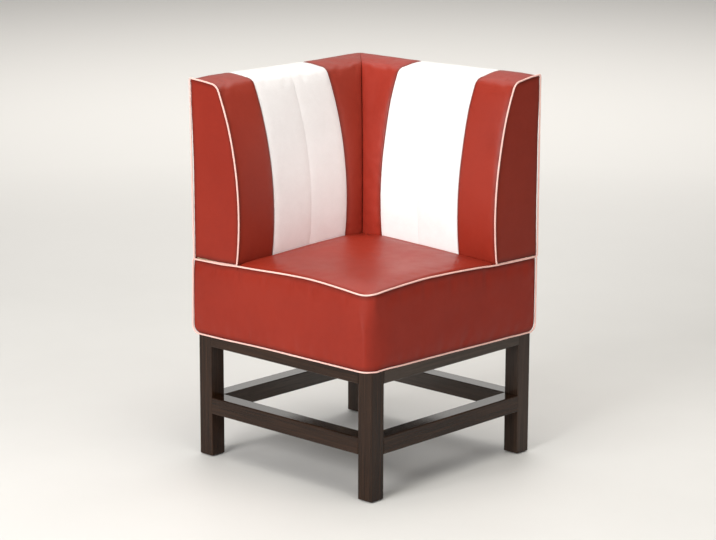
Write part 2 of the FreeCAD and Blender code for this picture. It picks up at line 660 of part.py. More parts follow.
# ---------------------------------------------------------------- bolts and tee nuts
bolts, nuts = [], []
for i, (x, y) in enumerate(bolt_spots):
    hexhead = doc.addObject("Part::Prism", "bolt_hex_%d" % i)
    hexhead.Polygon = 6
    hexhead.Circumradius = 7.5
    hexhead.Height = 5.3
    bind(hexhead, "Placement.Base.x", x)
    bind(hexhead, "Placement.Base.y", y)
    bind(hexhead, "Placement.Base.z", wall_top - 1.5 - 5.3)
    bolts.append(fuse("bolt_%d" % i, [
        hexhead, cylinder("bolt_flange_%d" % i, x, y, wall_top - 1.5, wall_top, 17),
        cylinder("bolt_shank_%d" % i, x, y, wall_top, rail_top + 5, S["bolt_dia"])]))
    nuts.append(cut("tee_nut_%d" % i, fuse("tee_nut_blank_%d" % i, [
        cylinder("nut_flange_%d" % i, x, y, rail_top, rail_top + 1.5, S["nut_flange"]),
        cylinder("nut_barrel_%d" % i, x, y, rail_top - 10, rail_top, S["nut_barrel"])]),
        [cylinder("nut_bore_%d" % i, x, y, rail_top - 12, rail_top + 3, S["bolt_dia"])]))
node(group("bolt_set", bolts), "back_fixing_bolts")
node(group("nut_set", nuts), "back_tee_nuts")

# ---------------------------------------------------------------- recompute, test and write
doc.recompute()
bad = [o.Name for o in doc.Objects if "Invalid" in o.State or "Error" in o.State]
if bad:
    raise SystemExit("failed objects: %s" % bad)
labels = [o.Label for o in nodes]
if len(set(labels)) != len(labels) or len(labels) > 60:
    raise SystemExit("labels: %d, %d different" % (len(labels), len(set(labels))))
os.makedirs("parts", exist_ok=True)
for o in nodes:
    shape = o.Shape
    if shape.isNull() or not shape.isValid() or not shape.Solids or shape.Volume <= 0:
        raise SystemExit("bad shape: " + o.Label)
for o in nodes:
    o.Shape.exportStep("parts/%s.step" % o.Label)
whole = Part.makeCompound([o.Shape for o in nodes]).BoundBox
print("%d nodes, x %.1f..%.1f y %.1f..%.1f z %.1f..%.1f" % (len(nodes), whole.XMin, whole.XMax, whole.YMin, whole.YMax,
                                                          whole.ZMin, whole.ZMax))
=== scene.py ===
import math

import bpy
import numpy as np
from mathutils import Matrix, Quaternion, Vector


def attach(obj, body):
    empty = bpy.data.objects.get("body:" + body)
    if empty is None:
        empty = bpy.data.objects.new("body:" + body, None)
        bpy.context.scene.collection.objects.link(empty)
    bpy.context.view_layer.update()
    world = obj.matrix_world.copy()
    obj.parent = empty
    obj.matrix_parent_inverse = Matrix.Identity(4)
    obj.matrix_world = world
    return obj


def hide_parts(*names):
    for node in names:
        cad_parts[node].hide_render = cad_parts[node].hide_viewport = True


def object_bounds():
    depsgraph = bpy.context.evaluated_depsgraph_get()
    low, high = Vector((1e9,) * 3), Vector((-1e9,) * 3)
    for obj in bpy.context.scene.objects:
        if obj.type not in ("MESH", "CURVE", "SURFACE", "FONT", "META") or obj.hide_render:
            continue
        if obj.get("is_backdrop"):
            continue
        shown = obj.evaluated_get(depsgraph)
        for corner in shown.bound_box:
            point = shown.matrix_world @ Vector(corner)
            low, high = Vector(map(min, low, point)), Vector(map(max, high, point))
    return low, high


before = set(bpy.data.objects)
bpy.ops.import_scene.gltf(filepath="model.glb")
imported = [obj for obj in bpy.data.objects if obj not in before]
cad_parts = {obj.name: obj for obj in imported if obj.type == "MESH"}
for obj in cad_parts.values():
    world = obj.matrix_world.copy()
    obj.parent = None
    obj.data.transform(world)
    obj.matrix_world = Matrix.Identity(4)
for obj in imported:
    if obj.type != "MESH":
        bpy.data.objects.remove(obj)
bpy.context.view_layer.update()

# ---------------------------------------------------------------- sizes
HALF = 286.2            # seat cover, half of its side
PLAN_R = 30.0           # the seat's front right corner
PIPE_R = 2.0
LOW_R = 19.0            # lower corners of the seat's side covers
PIPE_OUT = 287.8        # plan of the seat's piping line
LOW_PIPE = 303.9
LOW_IN = 0.7            # the lower run is drawn in under the side covers
BOX_HALF = 275.0
BOX_R = 24.0            # the seat box's front right corner
BEARER_IN = 185.0
DECK_TOP = 407.2
UNDER = 481.4           # seat cover under the backs
BACK = 285.5            # rear planes and outer ends of the backs
BOW_R, BOW_Z, BOW_X = 738.0, 593.0, -873.0
TOP_REAR, TOP_FRONT, TOP_R = 913.5, 905.5, 26.0
SEAMS = (-167.0, -43.0, 81.0)
FOAM = 36.0
FRAME_TOP = 888.4
MITRE = 0.08            # half of the opening between the backs
CREASE = 140.6          # where the seat cover turns down in front of the backs


# ---------------------------------------------------------------- small helpers
def smooth(t):
    t = np.clip(t, 0.0, 1.0)
    return t * t * (3 - 2 * t)


STEPS = [0, 0.35, 0.8, 1.4, 2.2, 3.2, 4.6, 6.5, 9, 12.5, 17]


def lines(a, b, step, fine_a=True, fine_b=True):
    """Places from a to b, close together beside a seam."""
    left = [a + q for q in STEPS] if fine_a else [a]
    right = [b - q for q in STEPS] if fine_b else [b]
    n = max(1, int(math.ceil((right[-1] - left[-1]) / step)))
    mid = [left[-1] + (right[-1] - left[-1]) * i / n for i in range(1, n)]
    return np.array(left + mid + right[::-1], float)


def arc_lengths(p):
    return np.concatenate([[0], np.cumsum(np.linalg.norm(np.diff(p, axis=0), axis=1))])


def along(p, where):
    """Points of polyline p at these lengths from its start."""
    s = arc_lengths(p)
    return np.stack([np.interp(where, s, p[:, k]) for k in range(p.shape[1])], -1)


def wander(p, size, seed):
    """A smooth, repeatable unevenness between about -1 and 1 at points p, in millimetres; size is its length."""
    r = np.random.RandomState(seed)
    out = np.zeros(p.shape[:-1])
    for i in range(7):
        k = r.normal(size=3)
        k *= (2 * math.pi / size) * (0.6 + 0.9 * r.rand()) / np.linalg.norm(k)
        out += np.sin(p @ k + r.rand() * 6.283)
    return out / 3.2


def edge_fall(d, deep, round_r, pillow, reach):
    """How far a cover lies below its full height at distance d from a seam."""
    q = np.clip(1 - d / round_r, 0, 1)
    return deep * (1 - np.sqrt(np.clip(1 - q * q, 0, 1))) + pillow * np.clip(1 - d / reach, 0, 1) ** 2


def catmull(values, x):
    """Smooth interpolation of values given at 0..n-1 along axis 0."""
    n = len(values)
    x = np.clip(x, 0, n - 1)
    i = np.minimum(x.astype(int), n - 2)
    t = (x - i).reshape((-1,) + (1,) * (values.ndim - 1))
    p0, p1 = values[np.maximum(i - 1, 0)], values[i]
    p2, p3 = values[i + 1], values[np.minimum(i + 2, n - 1)]
    return 0.5 * (2 * p1 + (p2 - p0) * t + (2 * p0 - 5 * p1 + 4 * p2 - p3) * t ** 2 + (3 * p1 - p0 - 3 * p2 + p3) * t ** 3)


def spread(grid, at_u, at_v, u, v):
    """Carries values known on lines at_u x at_v over to lines u x v."""
    iu = np.interp(u, at_u, np.arange(len(at_u)))
    iv = np.interp(v, at_v, np.arange(len(at_v)))
    return catmull(catmull(grid, iu).swapaxes(0, 1), iv).swapaxes(0, 1)


def solid_parts(layers, closed_u=False):
    """Vertices and quads of a closed form. layers run from the outer face to the inner face, all nu x nv x 3;
    the ones between them only shape the rim."""
    nu, nv = layers[0].shape[:2]
    verts = [layers[0].reshape(-1, 3)]
    ids = np.arange(nu * nv).reshape(nu, nv)
    border = [(i, 0) for i in range(nu)] + [(nu - 1, j) for j in range(1, nv)]
    border += [(i, nv - 1) for i in range(nu - 2, -1, -1)] + [(0, j) for j in range(nv - 2, 0, -1)]
    faces = []

    def sheet(table, flip):
        a, b, c, d = table[:-1, :-1], table[1:, :-1], table[1:, 1:], table[:-1, 1:]
        q = np.stack([a, b, c, d] if not flip else [a, d, c, b], -1).reshape(-1, 4)
        faces.extend(q.tolist())

    sheet(ids, False)
    ring = [int(ids[i, j]) for i, j in border]
    count = nu * nv
    for layer in layers[1:-1]:
        verts.append(np.array([layer[i, j] for i, j in border]))
        new = list(range(count, count + len(border)))
        count += len(border)
        faces.extend([ring[k], new[k], new[(k + 1) % len(ring)], ring[(k + 1) % len(ring)]] for k in range(len(ring)))
        ring = new
    ids2 = np.arange(nu * nv).reshape(nu, nv) + count
    verts.append(layers[-1].reshape(-1, 3))
    sheet(ids2, True)
    new = [int(ids2[i, j]) for i, j in border]
    faces.extend([ring[k], new[k], new[(k + 1) % len(ring)], ring[(k + 1) % len(ring)]] for k in range(len(ring)))
    verts = np.concatenate(verts)
    f = np.array(faces)
    a, b, c, d = (verts[f[:, k]] for k in range(4))
    volume = np.einsum("ij,ij->i", a, np.cross(b, c)).sum() + np.einsum("ij,ij->i", a, np.cross(c, d)).sum()
    if volume < 0:
        f = f[:, ::-1]
    return verts, f


def mesh_object(name, verts, faces, sharp=50):
    me = bpy.data.meshes.new(name)
    me.from_pydata((np.asarray(verts) * 0.001).tolist(), [], np.asarray(faces).tolist())
    me.update()
    me.shade_smooth()
    me.set_sharp_from_angle(angle=math.radians(sharp))
    ob = bpy.data.objects.new(name, me)
    bpy.context.scene.collection.objects.link(ob)
    return ob


def shade_seams(ob, outer, sides, reach=13.0, most=0.54):
    """Marks the outer face's points that lie near a seam, where the cover's colour is darkened as painted shade, a
    painted shadow line along the seam. sides names the seams: a and A the first and last rows of its points, b and B
    the first and last columns."""
    du = np.zeros(outer.shape[:2])
    dv = np.zeros(outer.shape[:2])
    du[1:] = np.cumsum(np.linalg.norm(np.diff(outer, axis=0), axis=-1), 0)
    dv[:, 1:] = np.cumsum(np.linalg.norm(np.diff(outer, axis=1), axis=-1), 1)
    d = np.full(du.shape, 1000.0)
    for key, far in (("a", du), ("A", du[-1:] - du), ("b", dv), ("B", dv[:, -1:] - dv)):
        if key in sides:
            d = np.minimum(d, far)
    values = np.zeros(len(ob.data.vertices), np.float32)
    values[:d.size] = (most * np.clip(1 - d / reach, 0, 1) ** 1.15).ravel()
    ob.data.attributes.new("seam_shade", "FLOAT", "POINT").data.foreach_set("value", values)


def mirrored(p):
    """The rear back's place of a point of the left back."""
    return np.stack([-p[..., 1], -p[..., 0], p[..., 2]], -1)


# ---------------------------------------------------------------- cloth: how a pinned, filled cover swells
def swell(outer, inner, pressure=4.0, frames=20, slack=0.004):
    """Blows up a coarse closed form, held along its seams and its inner face, and gives how far each point of the
    outer face moved."""
    verts, faces = solid_parts([outer, inner])
    nu, nv = outer.shape[:2]
    ob = mesh_object("swelling", verts, faces)
    held = np.ones(len(verts), bool)
    free = np.zeros((nu, nv), bool)
    free[1:-1, 1:-1] = True
    held[:nu * nv] = ~free.ravel()
    group = ob.vertex_groups.new(name="held")
    group.add([int(i) for i in np.nonzero(held)[0]], 1.0, "REPLACE")
    cloth = ob.modifiers.new("cloth", "CLOTH")
    s = cloth.settings
    s.quality = 6
    s.mass = 0.25
    s.tension_stiffness = s.compression_stiffness = 18
    s.shear_stiffness = 8
    s.bending_stiffness = 0.6
    s.vertex_group_mass = "held"
    s.pin_stiffness = 1.0
    s.shrink_min = -slack
    s.use_pressure = True
    s.uniform_pressure_force = pressure
    s.effector_weights.gravity = 0
    cloth.collision_settings.use_collision = False
    cloth.point_cache.frame_start, cloth.point_cache.frame_end = 1, frames
    scene = bpy.context.scene
    for f in range(1, frames + 1):
        scene.frame_set(f)
    got = ob.evaluated_get(bpy.context.evaluated_depsgraph_get()).to_mesh()
    co = np.zeros(len(verts) * 3, np.float32)
    got.vertices.foreach_get("co", co)
    moved = co.reshape(-1, 3)[:nu * nv].reshape(nu, nv, 3) * 1000.0 - outer
    bpy.data.objects.remove(ob)
    scene.frame_set(1)
    return moved


def lift_from(moved, normal, cap):
    """The swelling along the normal in millimetres, which never passes the cap."""
    h = np.einsum("ijk,ijk->ij", moved, normal)
    h = np.clip(h, -cap, cap * 4)
    return cap * np.tanh(h / cap)


# ---------------------------------------------------------------- the backs' cross-section
def cross_section():
    """The cover's line from the rear top edge over the top and down the bowed front to the foot."""
    fx = BOW_X + math.sqrt(BOW_R ** 2 - (TOP_FRONT - BOW_Z) ** 2)
    rear, front = np.array([-BACK, TOP_REAR]), np.array([fx, TOP_FRONT])
    # rounding between the straight top and the bow: its centre lies TOP_R inside both
    t = (front - rear) / np.linalg.norm(front - rear)
    n_top = np.array([-t[1], t[0]])
    lo, hi = 0.0, 80.0
    for _ in range(60):
        mid = (lo + hi) / 2
        c = front - t * mid - n_top * TOP_R
        if np.linalg.norm(c - np.array([BOW_X, BOW_Z])) > BOW_R - TOP_R:
            lo = mid
        else:
            hi = mid
    a0 = c + n_top * TOP_R
    u = (c - np.array([BOW_X, BOW_Z])) / np.linalg.norm(c - np.array([BOW_X, BOW_Z]))
    a1 = c + u * TOP_R
    ang0, ang1 = math.atan2(n_top[1], n_top[0]), math.atan2(u[1], u[0])
    top = np.linspace(rear, a0, 60)
    q = np.linspace(0, 1, 60)
    top[:, 1] += 0.9 * np.sin(math.pi * q) ** 2
    arc = np.array([c + TOP_R * np.array([math.cos(a), math.sin(a)]) for a in np.linspace(ang0, ang1, 40)[1:]])
    zs = np.linspace(a1[1], UNDER + 0.3, 400)[1:]
    bow = np.stack([BOW_X + np.sqrt(BOW_R ** 2 - (zs - BOW_Z) ** 2), zs], 1)
    p = np.concatenate([top, arc, bow])
    return p, len(top), len(top) + len(arc)


SECTION, N_TOP, N_ARC = cross_section()
S_LEN = arc_lengths(SECTION)
S_CORNER = S_LEN[(N_TOP + N_ARC) // 2]
S_END = S_LEN[-1]
_t = np.gradient(SECTION, S_LEN, axis=0)
_t /= np.linalg.norm(_t, axis=1)[:, None]
SECTION_N = np.stack([-_t[:, 1], _t[:, 0]], 1)
if SECTION_N[len(SECTION_N) // 2, 0] < 0:
    SECTION_N = -SECTION_N


def section_at(s):
    p = np.stack([np.interp(s, S_LEN, SECTION[:, k]) for k in (0, 1)], -1)
    n = np.stack([np.interp(s, S_LEN, SECTION_N[:, k]) for k in (0, 1)], -1)
    return p, n / np.linalg.norm(n, axis=-1)[..., None]


def rise(w):
    """The top rises a little from the outer end to the inner corner."""
    return 1.0 * np.clip((w + 285) / 366, 0, 1) + 3.0 * smooth((w - 81) / 190)


def inner_line(s):
    """The foam's inner side, against the board and on the frame's top."""
    r = BOW_R - FOAM
    cx = BOW_X + math.sqrt(r * r - (FRAME_TOP - BOW_Z) ** 2)
    t = np.clip(s / S_CORNER, 0, 1)
    x0 = -BACK + 1.6 + (cx + BACK - 1.6) * t
    q = np.clip((s - S_CORNER) / (S_END - S_CORNER), 0, 1)
    z1 = FRAME_TOP + (UNDER + 0.3 - FRAME_TOP) * q
    x1 = BOW_X + np.sqrt(r * r - (z1 - BOW_Z) ** 2)
    first = s <= S_CORNER
    return np.where(first, x0, x1), np.where(first, FRAME_TOP, z1)


S_LINES = np.unique(np.concatenate([
    lines(0, S_LEN[N_TOP], 5.0, True, False), lines(S_LEN[N_TOP], S_LEN[N_ARC], 2.2, False, False),
    lines(S_LEN[N_ARC], S_END, 4.6, False, False)]).round(4))


def back_panel(w0, w1, seam0, seam1, s_lines, w_frac, lift=None, seed=1):
    """One panel of the left back between seams at w0 and w1. w1 None is the mitre. lift is the swelling on the
    same lines. Gives the layers of its closed form."""
    s = s_lines[:, None]
    p, n = section_at(s_lines)
    px, pz = p[:, 0][:, None], p[:, 1][:, None]
    nx, nz = n[:, 0][:, None], n[:, 1][:, None]
    stop = (-px - MITRE * 1.42) if w1 is None else w1 + 0 * px
    width = stop - w0
    w = w0 + width * w_frac[None, :]
    d0, d1 = w - w0, stop - w
    h = -edge_fall(d0, *seam0) - edge_fall(d1, *seam1) - edge_fall(s + 0 * w, 2.2, 3.0, 0.8, 16)
    top = smooth((pz - 700) / 200)
    if lift is not None:
        h = h + lift
    x, y, z = px + nx * h, w, pz + nz * h + rise(w) * top
    if w1 is None:
        # a full cover never crosses the mitre
        over = x + y + MITRE * 1.42
        y = np.where(over > 0, y - over, y)
    uneven = wander(np.stack([x + 0 * y, y, z], -1), 70, seed) * 0.16 + wander(np.stack([x + 0 * y, y, z], -1), 24, seed + 9) * 0.05
    x, z = x + nx * uneven, z + nz * uneven
    outer = np.stack([x + 0 * w, y + 0 * x, z + 0 * w], -1)
    ix, iz = inner_line(s_lines)
    ix, iz = ix[:, None] + 0 * w, iz[:, None] + 0 * w
    if w1 is None:
        iw = w0 + (-ix - MITRE * 1.42 - w0) * w_frac[None, :]
    else:
        iw = w
    inner = np.stack([ix, iw, iz], -1)
    return outer, inner


# ---------------------------------------------------------------- the seat's surface
def edge_height(u):
    """Height of the seat's piping line at a distance u from the front right corner."""
    return 484.0 + 8.6 * np.exp(-((u - 215.0) / np.where(u < 215, 125.0, 150.0)) ** 2) - 1.2 * np.exp(-(u / 40.0) ** 2)


def eased(places, values, top, n=240, passes=40):
    """A smooth line through rough values."""
    t = np.linspace(0, top, n)
    v = np.interp(t, places, values)
    for _ in range(passes):
        v[1:-1] = (v[:-2] + 2 * v[1:-1] + v[2:]) / 4
    return t, v


CORNER_RISE = -2.3
FRONT_MORE = eased([0, 20, 45, 75, 110, 150, 200, 240, 290, 435, 480, 600],
                   [CORNER_RISE, -2.9, -2.9, -1.3, -0.9, -0.4, -0.5, -0.7, -0.3, 0, -2.9, -3.0], 600)
RIGHT_MORE = eased([0, 15, 30, 50, 75, 110, 150, 190, 225, 260, 300, 340, 380, 415, 450, 480, 600],
                   [CORNER_RISE, -1.2, 0.4, 1.3, 1.9, 2.3, 1.9, 1.4, 0.4, 0.5, 0.9, 1.2, 1.2, -0.9, -0.6, -1.3, -1.9], 600)


def edge_front(u):
    return edge_height(u) + np.interp(u, *FRONT_MORE)


def edge_right(u):
    return edge_height(u) + np.interp(u, *RIGHT_MORE)


def edge_along(x, y, half):
    """Height of the piping line beside a point of the plan: one side's line goes over into the other's in the corner."""
    X, Y = np.maximum(half - x, 0), np.maximum(y + half, 0)
    a = (X * X + 1e-6) / (X * X + Y * Y + 2e-6)
    return edge_front(X) * a + edge_right(Y) * (1 - a)


CROWN = eased([0, .05, .1, .2, .33, .45, .52, .57, .65, .8], [0, 3.6, 6.0, 9.7, 15.5, 20.9, 23.7, 24.1, 24.0, 24.0], 0.8, 161, 24)


def seat_height(x, y):
    """Top of the seat cover, and where it lies under the backs."""
    X, Y = HALF - x, y + HALF
    r = PLAN_R
    d = np.where((X < r) & (Y < r), r - np.sqrt((r - X) ** 2 + (r - Y) ** 2), np.minimum(X, Y))
    d = np.maximum(d, 0)
    q, p = np.maximum(X / (2 * HALF), 1e-3), np.maximum(Y / (2 * HALF), 1e-3)
    m = (p ** -2.5 + q ** -2.5) ** -0.4
    crown = np.interp(m, *CROWN) * (1 - 0.3 * smooth((p - 0.6) / 0.15)) * (1 - 0.3 * smooth((q - 0.6) / 0.15))
    k = lambda t: np.exp(-(t / 105.0) ** 2)
    e0 = edge_height(0.0) + CORNER_RISE
    edge = (edge_front(X) - 484) * k(Y) + (edge_right(Y) - 484) * k(X) - (e0 - 484) * k(X) * k(Y)
    roll = -2.2 + 6.9 * (1 - np.exp(-d / 5.6))
    z = 484 + edge + crown + roll
    # the cover turns down where it meets the backs, and lies flat below them
    a = np.maximum(-CREASE - x, y - CREASE)          # > 0 under the backs
    turn = 8.0
    t = np.clip((a + turn) / turn, 0, 1)
    rolled = z - turn * (1 - np.sqrt(1 - t * t * 0.9999))
    flat = UNDER - 0.9 + 0 * z
    rim = (z - 0.9 - flat) * np.exp(-d / 3.0) * ((x > -HALF + 0.01) & (y < HALF - 0.01))
    under = flat + np.minimum(rim, 2.0)
    return np.where(a <= 0, rolled, under), d


def plan_warp(x, y):
    """Turns the square's front right corner into the rounded one."""
    r, R = PLAN_R, 85.0
    X, Y = HALF - x, y + HALF

    def bound(t):
        phi = math.pi / 4 * (1 - np.clip(t / r, 0, 1))
        return np.where(t < r, r - r * np.sin(phi), t) - t, np.where(t < r, r - r * np.cos(phi), 0.0)

    def w(t):
        return 1 - smooth(t / R)

    ax, ay = bound(X)
    by, bx = bound(Y)
    c = r * (1 - math.sqrt(0.5))
    wx, wy = w(X), w(Y)
    dX = wy * ax + wx * bx - wx * wy * c
    dY = wy * ay + wx * by - wx * wy * c
    return x - dX, y + dY


DRAWN = eased([0, 0.12, 0.35, 1.0], [-9.0, -6.6, -3.2, 0.6], 1.0, 121, 12)


def drawn_in(x, y):
    """The seat's right side isn't quite square: it is drawn in towards the front right corner."""
    return x + np.interp((y + HALF) / (2 * HALF), *DRAWN) * smooth((x - 120.0) / 150.0)


STOOD_OUT = eased([300, 318, 350, 400, 440, 460, 474, 484], [5.0, 4.6, 4.0, 3.4, 2.7, 2.2, 0.8, 0.0], 600, 601, 8)


def stood_out(p):
    """The seat's left edge stands out a little below the backs."""
    share = smooth((-HALF + 42 - p[..., 0]) / 40) * smooth((-HALF + 62 - p[..., 1]) / 60)
    out = p.copy()
    out[..., 0] -= share * np.interp(p[..., 2], *STOOD_OUT)
    return out


def low_drop(q):
    """How far the lower seam hangs below its usual height, towards the outer ends of the front and right sides."""
    front = q[:, 1] < -HALF + PLAN_R
    right = q[:, 1] + HALF
    return np.where(front, 3.0 * smooth((HALF - q[:, 0] - 318) / 200),
                    3.1 * smooth((right - 170) / 300) - 1.5 * np.exp(-((right - 62) / 34.0) ** 2)
                    + 1.2 * smooth((right - 480) / 40))


def seat_lines(step):
    f = lambda a, b, n1, n2: lines(a, b, step, n1, n2)
    low, high = f(-HALF + 0.2, -CREASE - 0.5, True, False), f(-CREASE + 9, HALF - 0.2, False, True)
    turn = -CREASE + 9 - 9 * np.array([1.0, 0.985, 0.95, 0.9, 0.82, 0.72, 0.6, 0.45, 0.3, 0.15])
    extra = np.array([-BEARER_IN + 0.4, -BEARER_IN + 0.6, BOX_HALF - 0.6, BOX_HALF - 0.4, -CREASE - 0.05, -CREASE - 0.3])
    return np.unique(np.concatenate([low, turn, high, extra]).round(3))


def seat_layers(xs, ys, lift=None):
    gx, gy = np.meshgrid(xs, ys, indexing="ij")
    wx, wy = plan_warp(gx, gy)
    z, d = seat_height(wx, wy)
    if lift is not None:
        z = z + lift
    p = np.stack([wx, wy, z], -1)
    z = z + (wander(p, 85, 41) * 0.22 + wander(p, 30, 42) * 0.06) * np.clip(d / 12, 0, 1)
    border_z = edge_along(wx, wy, HALF) - 1.4
    wx = drawn_in(wx, wy)
    outer = np.stack([wx, wy, z], -1)
    rim_top = np.minimum(border_z - 0.7, z - 0.7)
    rim_low = rim_top - np.clip(d, 0, 11) / 11 * np.maximum(rim_top - 478.2, 0)
    inside = (gx > -BEARER_IN + 0.5) & (gx < BOX_HALF - 0.5) & (gy > -BOX_HALF + 0.5) & (gy < BEARER_IN - 0.5)
    over = (gx < -BEARER_IN + 0.5) | (gy > BEARER_IN - 0.5)
    zb = np.where(inside, DECK_TOP + 0.2, np.where(over, np.minimum(480.35, z - 0.15), rim_low))
    return outer, np.stack([wx, wy, zb], -1), d


def outline(path, sharp_r):
    """A rounded polyline in plan, closely sampled. A corner's rounding is one radius, or how far it reaches along the
    side before it and along the side after it."""
    pts = []
    for i, (c, r) in enumerate(zip(path, sharp_r)):
        c = np.array(c, float)
        if i in (0, len(path) - 1) or r == 0:
            pts.append(c[None])
            continue
        ra, rb = r if isinstance(r, tuple) else (r, r)
        a = np.array(path[i - 1], float) - c
        b = np.array(path[i + 1], float) - c
        a, b = a / np.linalg.norm(a), b / np.linalg.norm(b)
        centre = c + a * ra + b * rb
        t = np.linspace(0, 1, 60)
        arc = [centre - b * rb * math.cos(k * math.pi / 2) - a * ra * math.sin(k * math.pi / 2) for k in t]
        pts.append(np.array(arc))
    p = np.concatenate(pts)
    s = arc_lengths(p)
    keep = np.concatenate([[True], np.diff(s) > 1e-6])
    return p[keep]


def band_layers(path, radii, out_bulge, z_top, s_lines, v_frac, lift=None, seed=5, slack=(), drop=None):
    """A side cover of the seat: along the plan path, from its upper seam to its lower one. slack says how far the
    corner's rounding reaches along either side at some heights, where it isn't held to the seams' own rounding."""
    p = outline(path, radii)
    S = arc_lengths(p)
    q = np.stack([np.interp(s_lines, S, p[:, k]) for k in (0, 1)], -1)
    t = np.stack([np.interp(s_lines + 0.5, S, p[:, k]) - np.interp(s_lines - 0.5, S, p[:, k]) for k in (0, 1)], -1)
    t /= np.linalg.norm(t, axis=1)[:, None]
    n = np.stack([t[:, 1], -t[:, 0]], -1)
    up = z_top(q)[:, None]
    low = 305.3 - (drop(q)[:, None] if drop is not None else 0.0)
    # the lower corners at the cover's two ends are rounded
    end = np.clip(LOW_R - np.minimum(s_lines - s_lines[0], s_lines[-1] - s_lines), 0, LOW_R)[:, None]
    raised = LOW_R - np.sqrt(LOW_R ** 2 - end ** 2 * 0.9999)
    low = low + raised
    v = v_frac[None, :]
    away = np.zeros(s_lines.shape + v_frac.shape + (2,))
    if len(slack):
        at, before, after = np.array(slack).T
        before, after = eased(at, before, 1.0, 61, 8), eased(at, after, 1.0, 61, 8)
        for j, k in enumerate(v_frac):
            reach = (np.interp(k, *before), np.interp(k, *after))
            wide = outline(path, tuple(reach if r else 0 for r in radii))
            wide_s = arc_lengths(wide)
            away[:, j] = np.stack([np.interp(s_lines * wide_s[-1] / S[-1], wide_s, wide[:, c]) for c in (0, 1)], -1) - q
    z = up + (low - up) * v
    d_v = np.minimum(up - z, z - low)
    d_u = np.minimum(s_lines - s_lines[0], s_lines[-1] - s_lines)[:, None] + 0 * v
    h = out_bulge * (1 - edge_fall(d_v, 0.0, 3, 1.0, 60)) - edge_fall(up - z, 2.4, 3.0, 0.8, 14) \
        - edge_fall(z - low, 1.4, 3.0, 0.6, 14) - edge_fall(d_u, 1.0, 2.2, 0.4 + out_bulge, 24)
    if lift is not None:
        h = h + lift
    x = q[:, 0][:, None] + away[..., 0] + n[:, 0][:, None] * h
    y = q[:, 1][:, None] + away[..., 1] + n[:, 1][:, None] * h
    pt = np.stack([x, y, z], -1)
    uneven = (wander(pt, 90, seed) * 0.2 + wander(pt, 28, seed + 3) * 0.06) * np.clip(d_v / 10, 0, 1)
    x, y = x + n[:, 0][:, None] * uneven, y + n[:, 1][:, None] * uneven
    outer = stood_out(np.stack([drawn_in(x, y), y, z + 0 * x], -1))
    ix = np.clip(q[:, 0], -BOX_HALF - 0.3, BOX_HALF + 0.3)[:, None] + 0 * z
    iy = np.clip(q[:, 1], -BOX_HALF - 0.3, BOX_HALF + 0.3)[:, None] + 0 * z
    # the box's own corner is rounded
    c = BOX_HALF + 0.3 - BOX_R
    dx, dy = ix - c, -iy - c
    far = np.hypot(dx, dy)
    turn = (dx > 0) & (dy > 0) & (far > BOX_R)
    ix, iy = np.where(turn, c + dx * BOX_R / far, ix), np.where(turn, -c - dy * BOX_R / far, iy)
    iz_top = 476.6
    iz = iz_top + (303.0 + raised - iz_top) * v + 0 * ix
    return outer, np.stack([ix, iy, iz], -1), n


# ---------------------------------------------------------------- tubes
def tube_object(name, points, radius, closed, sides=14, step=2.6, seed=3):
    """A piping of this radius along a smooth line."""
    p = np.asarray(points, float)
    if closed:
        p = np.concatenate([p, p[:1]])
    s = arc_lengths(p)
    n = int(round(s[-1] / step))
    where = np.linspace(0, s[-1], n + 1)
    if closed:
        where = where[:-1]
    c = along(p, where)
    if closed:
        t = np.roll(c, -1, 0) - np.roll(c, 1, 0)
    else:
        t = np.gradient(c, axis=0)
    t /= np.linalg.norm(t, axis=1)[:, None]
    # a frame carried along the line without twist
    ref = np.zeros_like(t)
    a = np.array([0.3, 0.2, 1.0]) if abs(t[0, 2]) < 0.8 else np.array([1.0, 0.3, 0.1])
    ref[0] = a - t[0] * (a @ t[0])
    ref[0] /= np.linalg.norm(ref[0])
    for i in range(1, len(c)):
        r = ref[i - 1] - t[i] * (ref[i - 1] @ t[i])
        ref[i] = r / np.linalg.norm(r)
    side = np.cross(t, ref)
    if closed:
        # spread the closing error over the loop
        r = ref[-1] - t[0] * (ref[-1] @ t[0])
        err = math.atan2(r @ side[0], r @ ref[0])
        tw = -err * np.arange(len(c)) / len(c)
        ref, side = (ref * np.cos(tw)[:, None] + side * np.sin(tw)[:, None],
                     side * np.cos(tw)[:, None] - ref * np.sin(tw)[:, None])
    ang = np.arange(sides) * 2 * math.pi / sides
    r_here = radius * (1 + 0.022 * wander(c, 22, seed) + 0.012 * wander(c, 7, seed + 1))
    ring = c[:, None] + r_here[:, None, None] * (ref[:, None] * np.cos(ang)[None, :, None] + side[:, None] * np.sin(ang)[None, :, None])
    m = len(c)
    verts = ring.reshape(-1, 3)
    ids = np.arange(m * sides).reshape(m, sides)
    faces = []
    for i in range(m if closed else m - 1):
        j = (i + 1) % m
        for k in range(sides):
            l = (k + 1) % sides
            faces.append([int(ids[i, k]), int(ids[i, l]), int(ids[j, l]), int(ids[j, k])])
    verts = verts.tolist()
    if not closed:
        for end, order in ((0, -1), (m - 1, 1)):
            verts.append(c[end].tolist())
            tip = len(verts) - 1
            for k in range(sides):
                l = (k + 1) % sides
                tri = [int(ids[end, k]), int(ids[end, l]), tip]
                faces.append(tri[::-1] if order < 0 else tri)
    me = bpy.data.meshes.new(name)
    me.from_pydata((np.array(verts) * 0.001).tolist(), [], faces)
    me.update()
    me.validate()
    me.shade_smooth()
    ob = bpy.data.objects.new(name, me)
    bpy.context.scene.collection.objects.link(ob)
    return ob


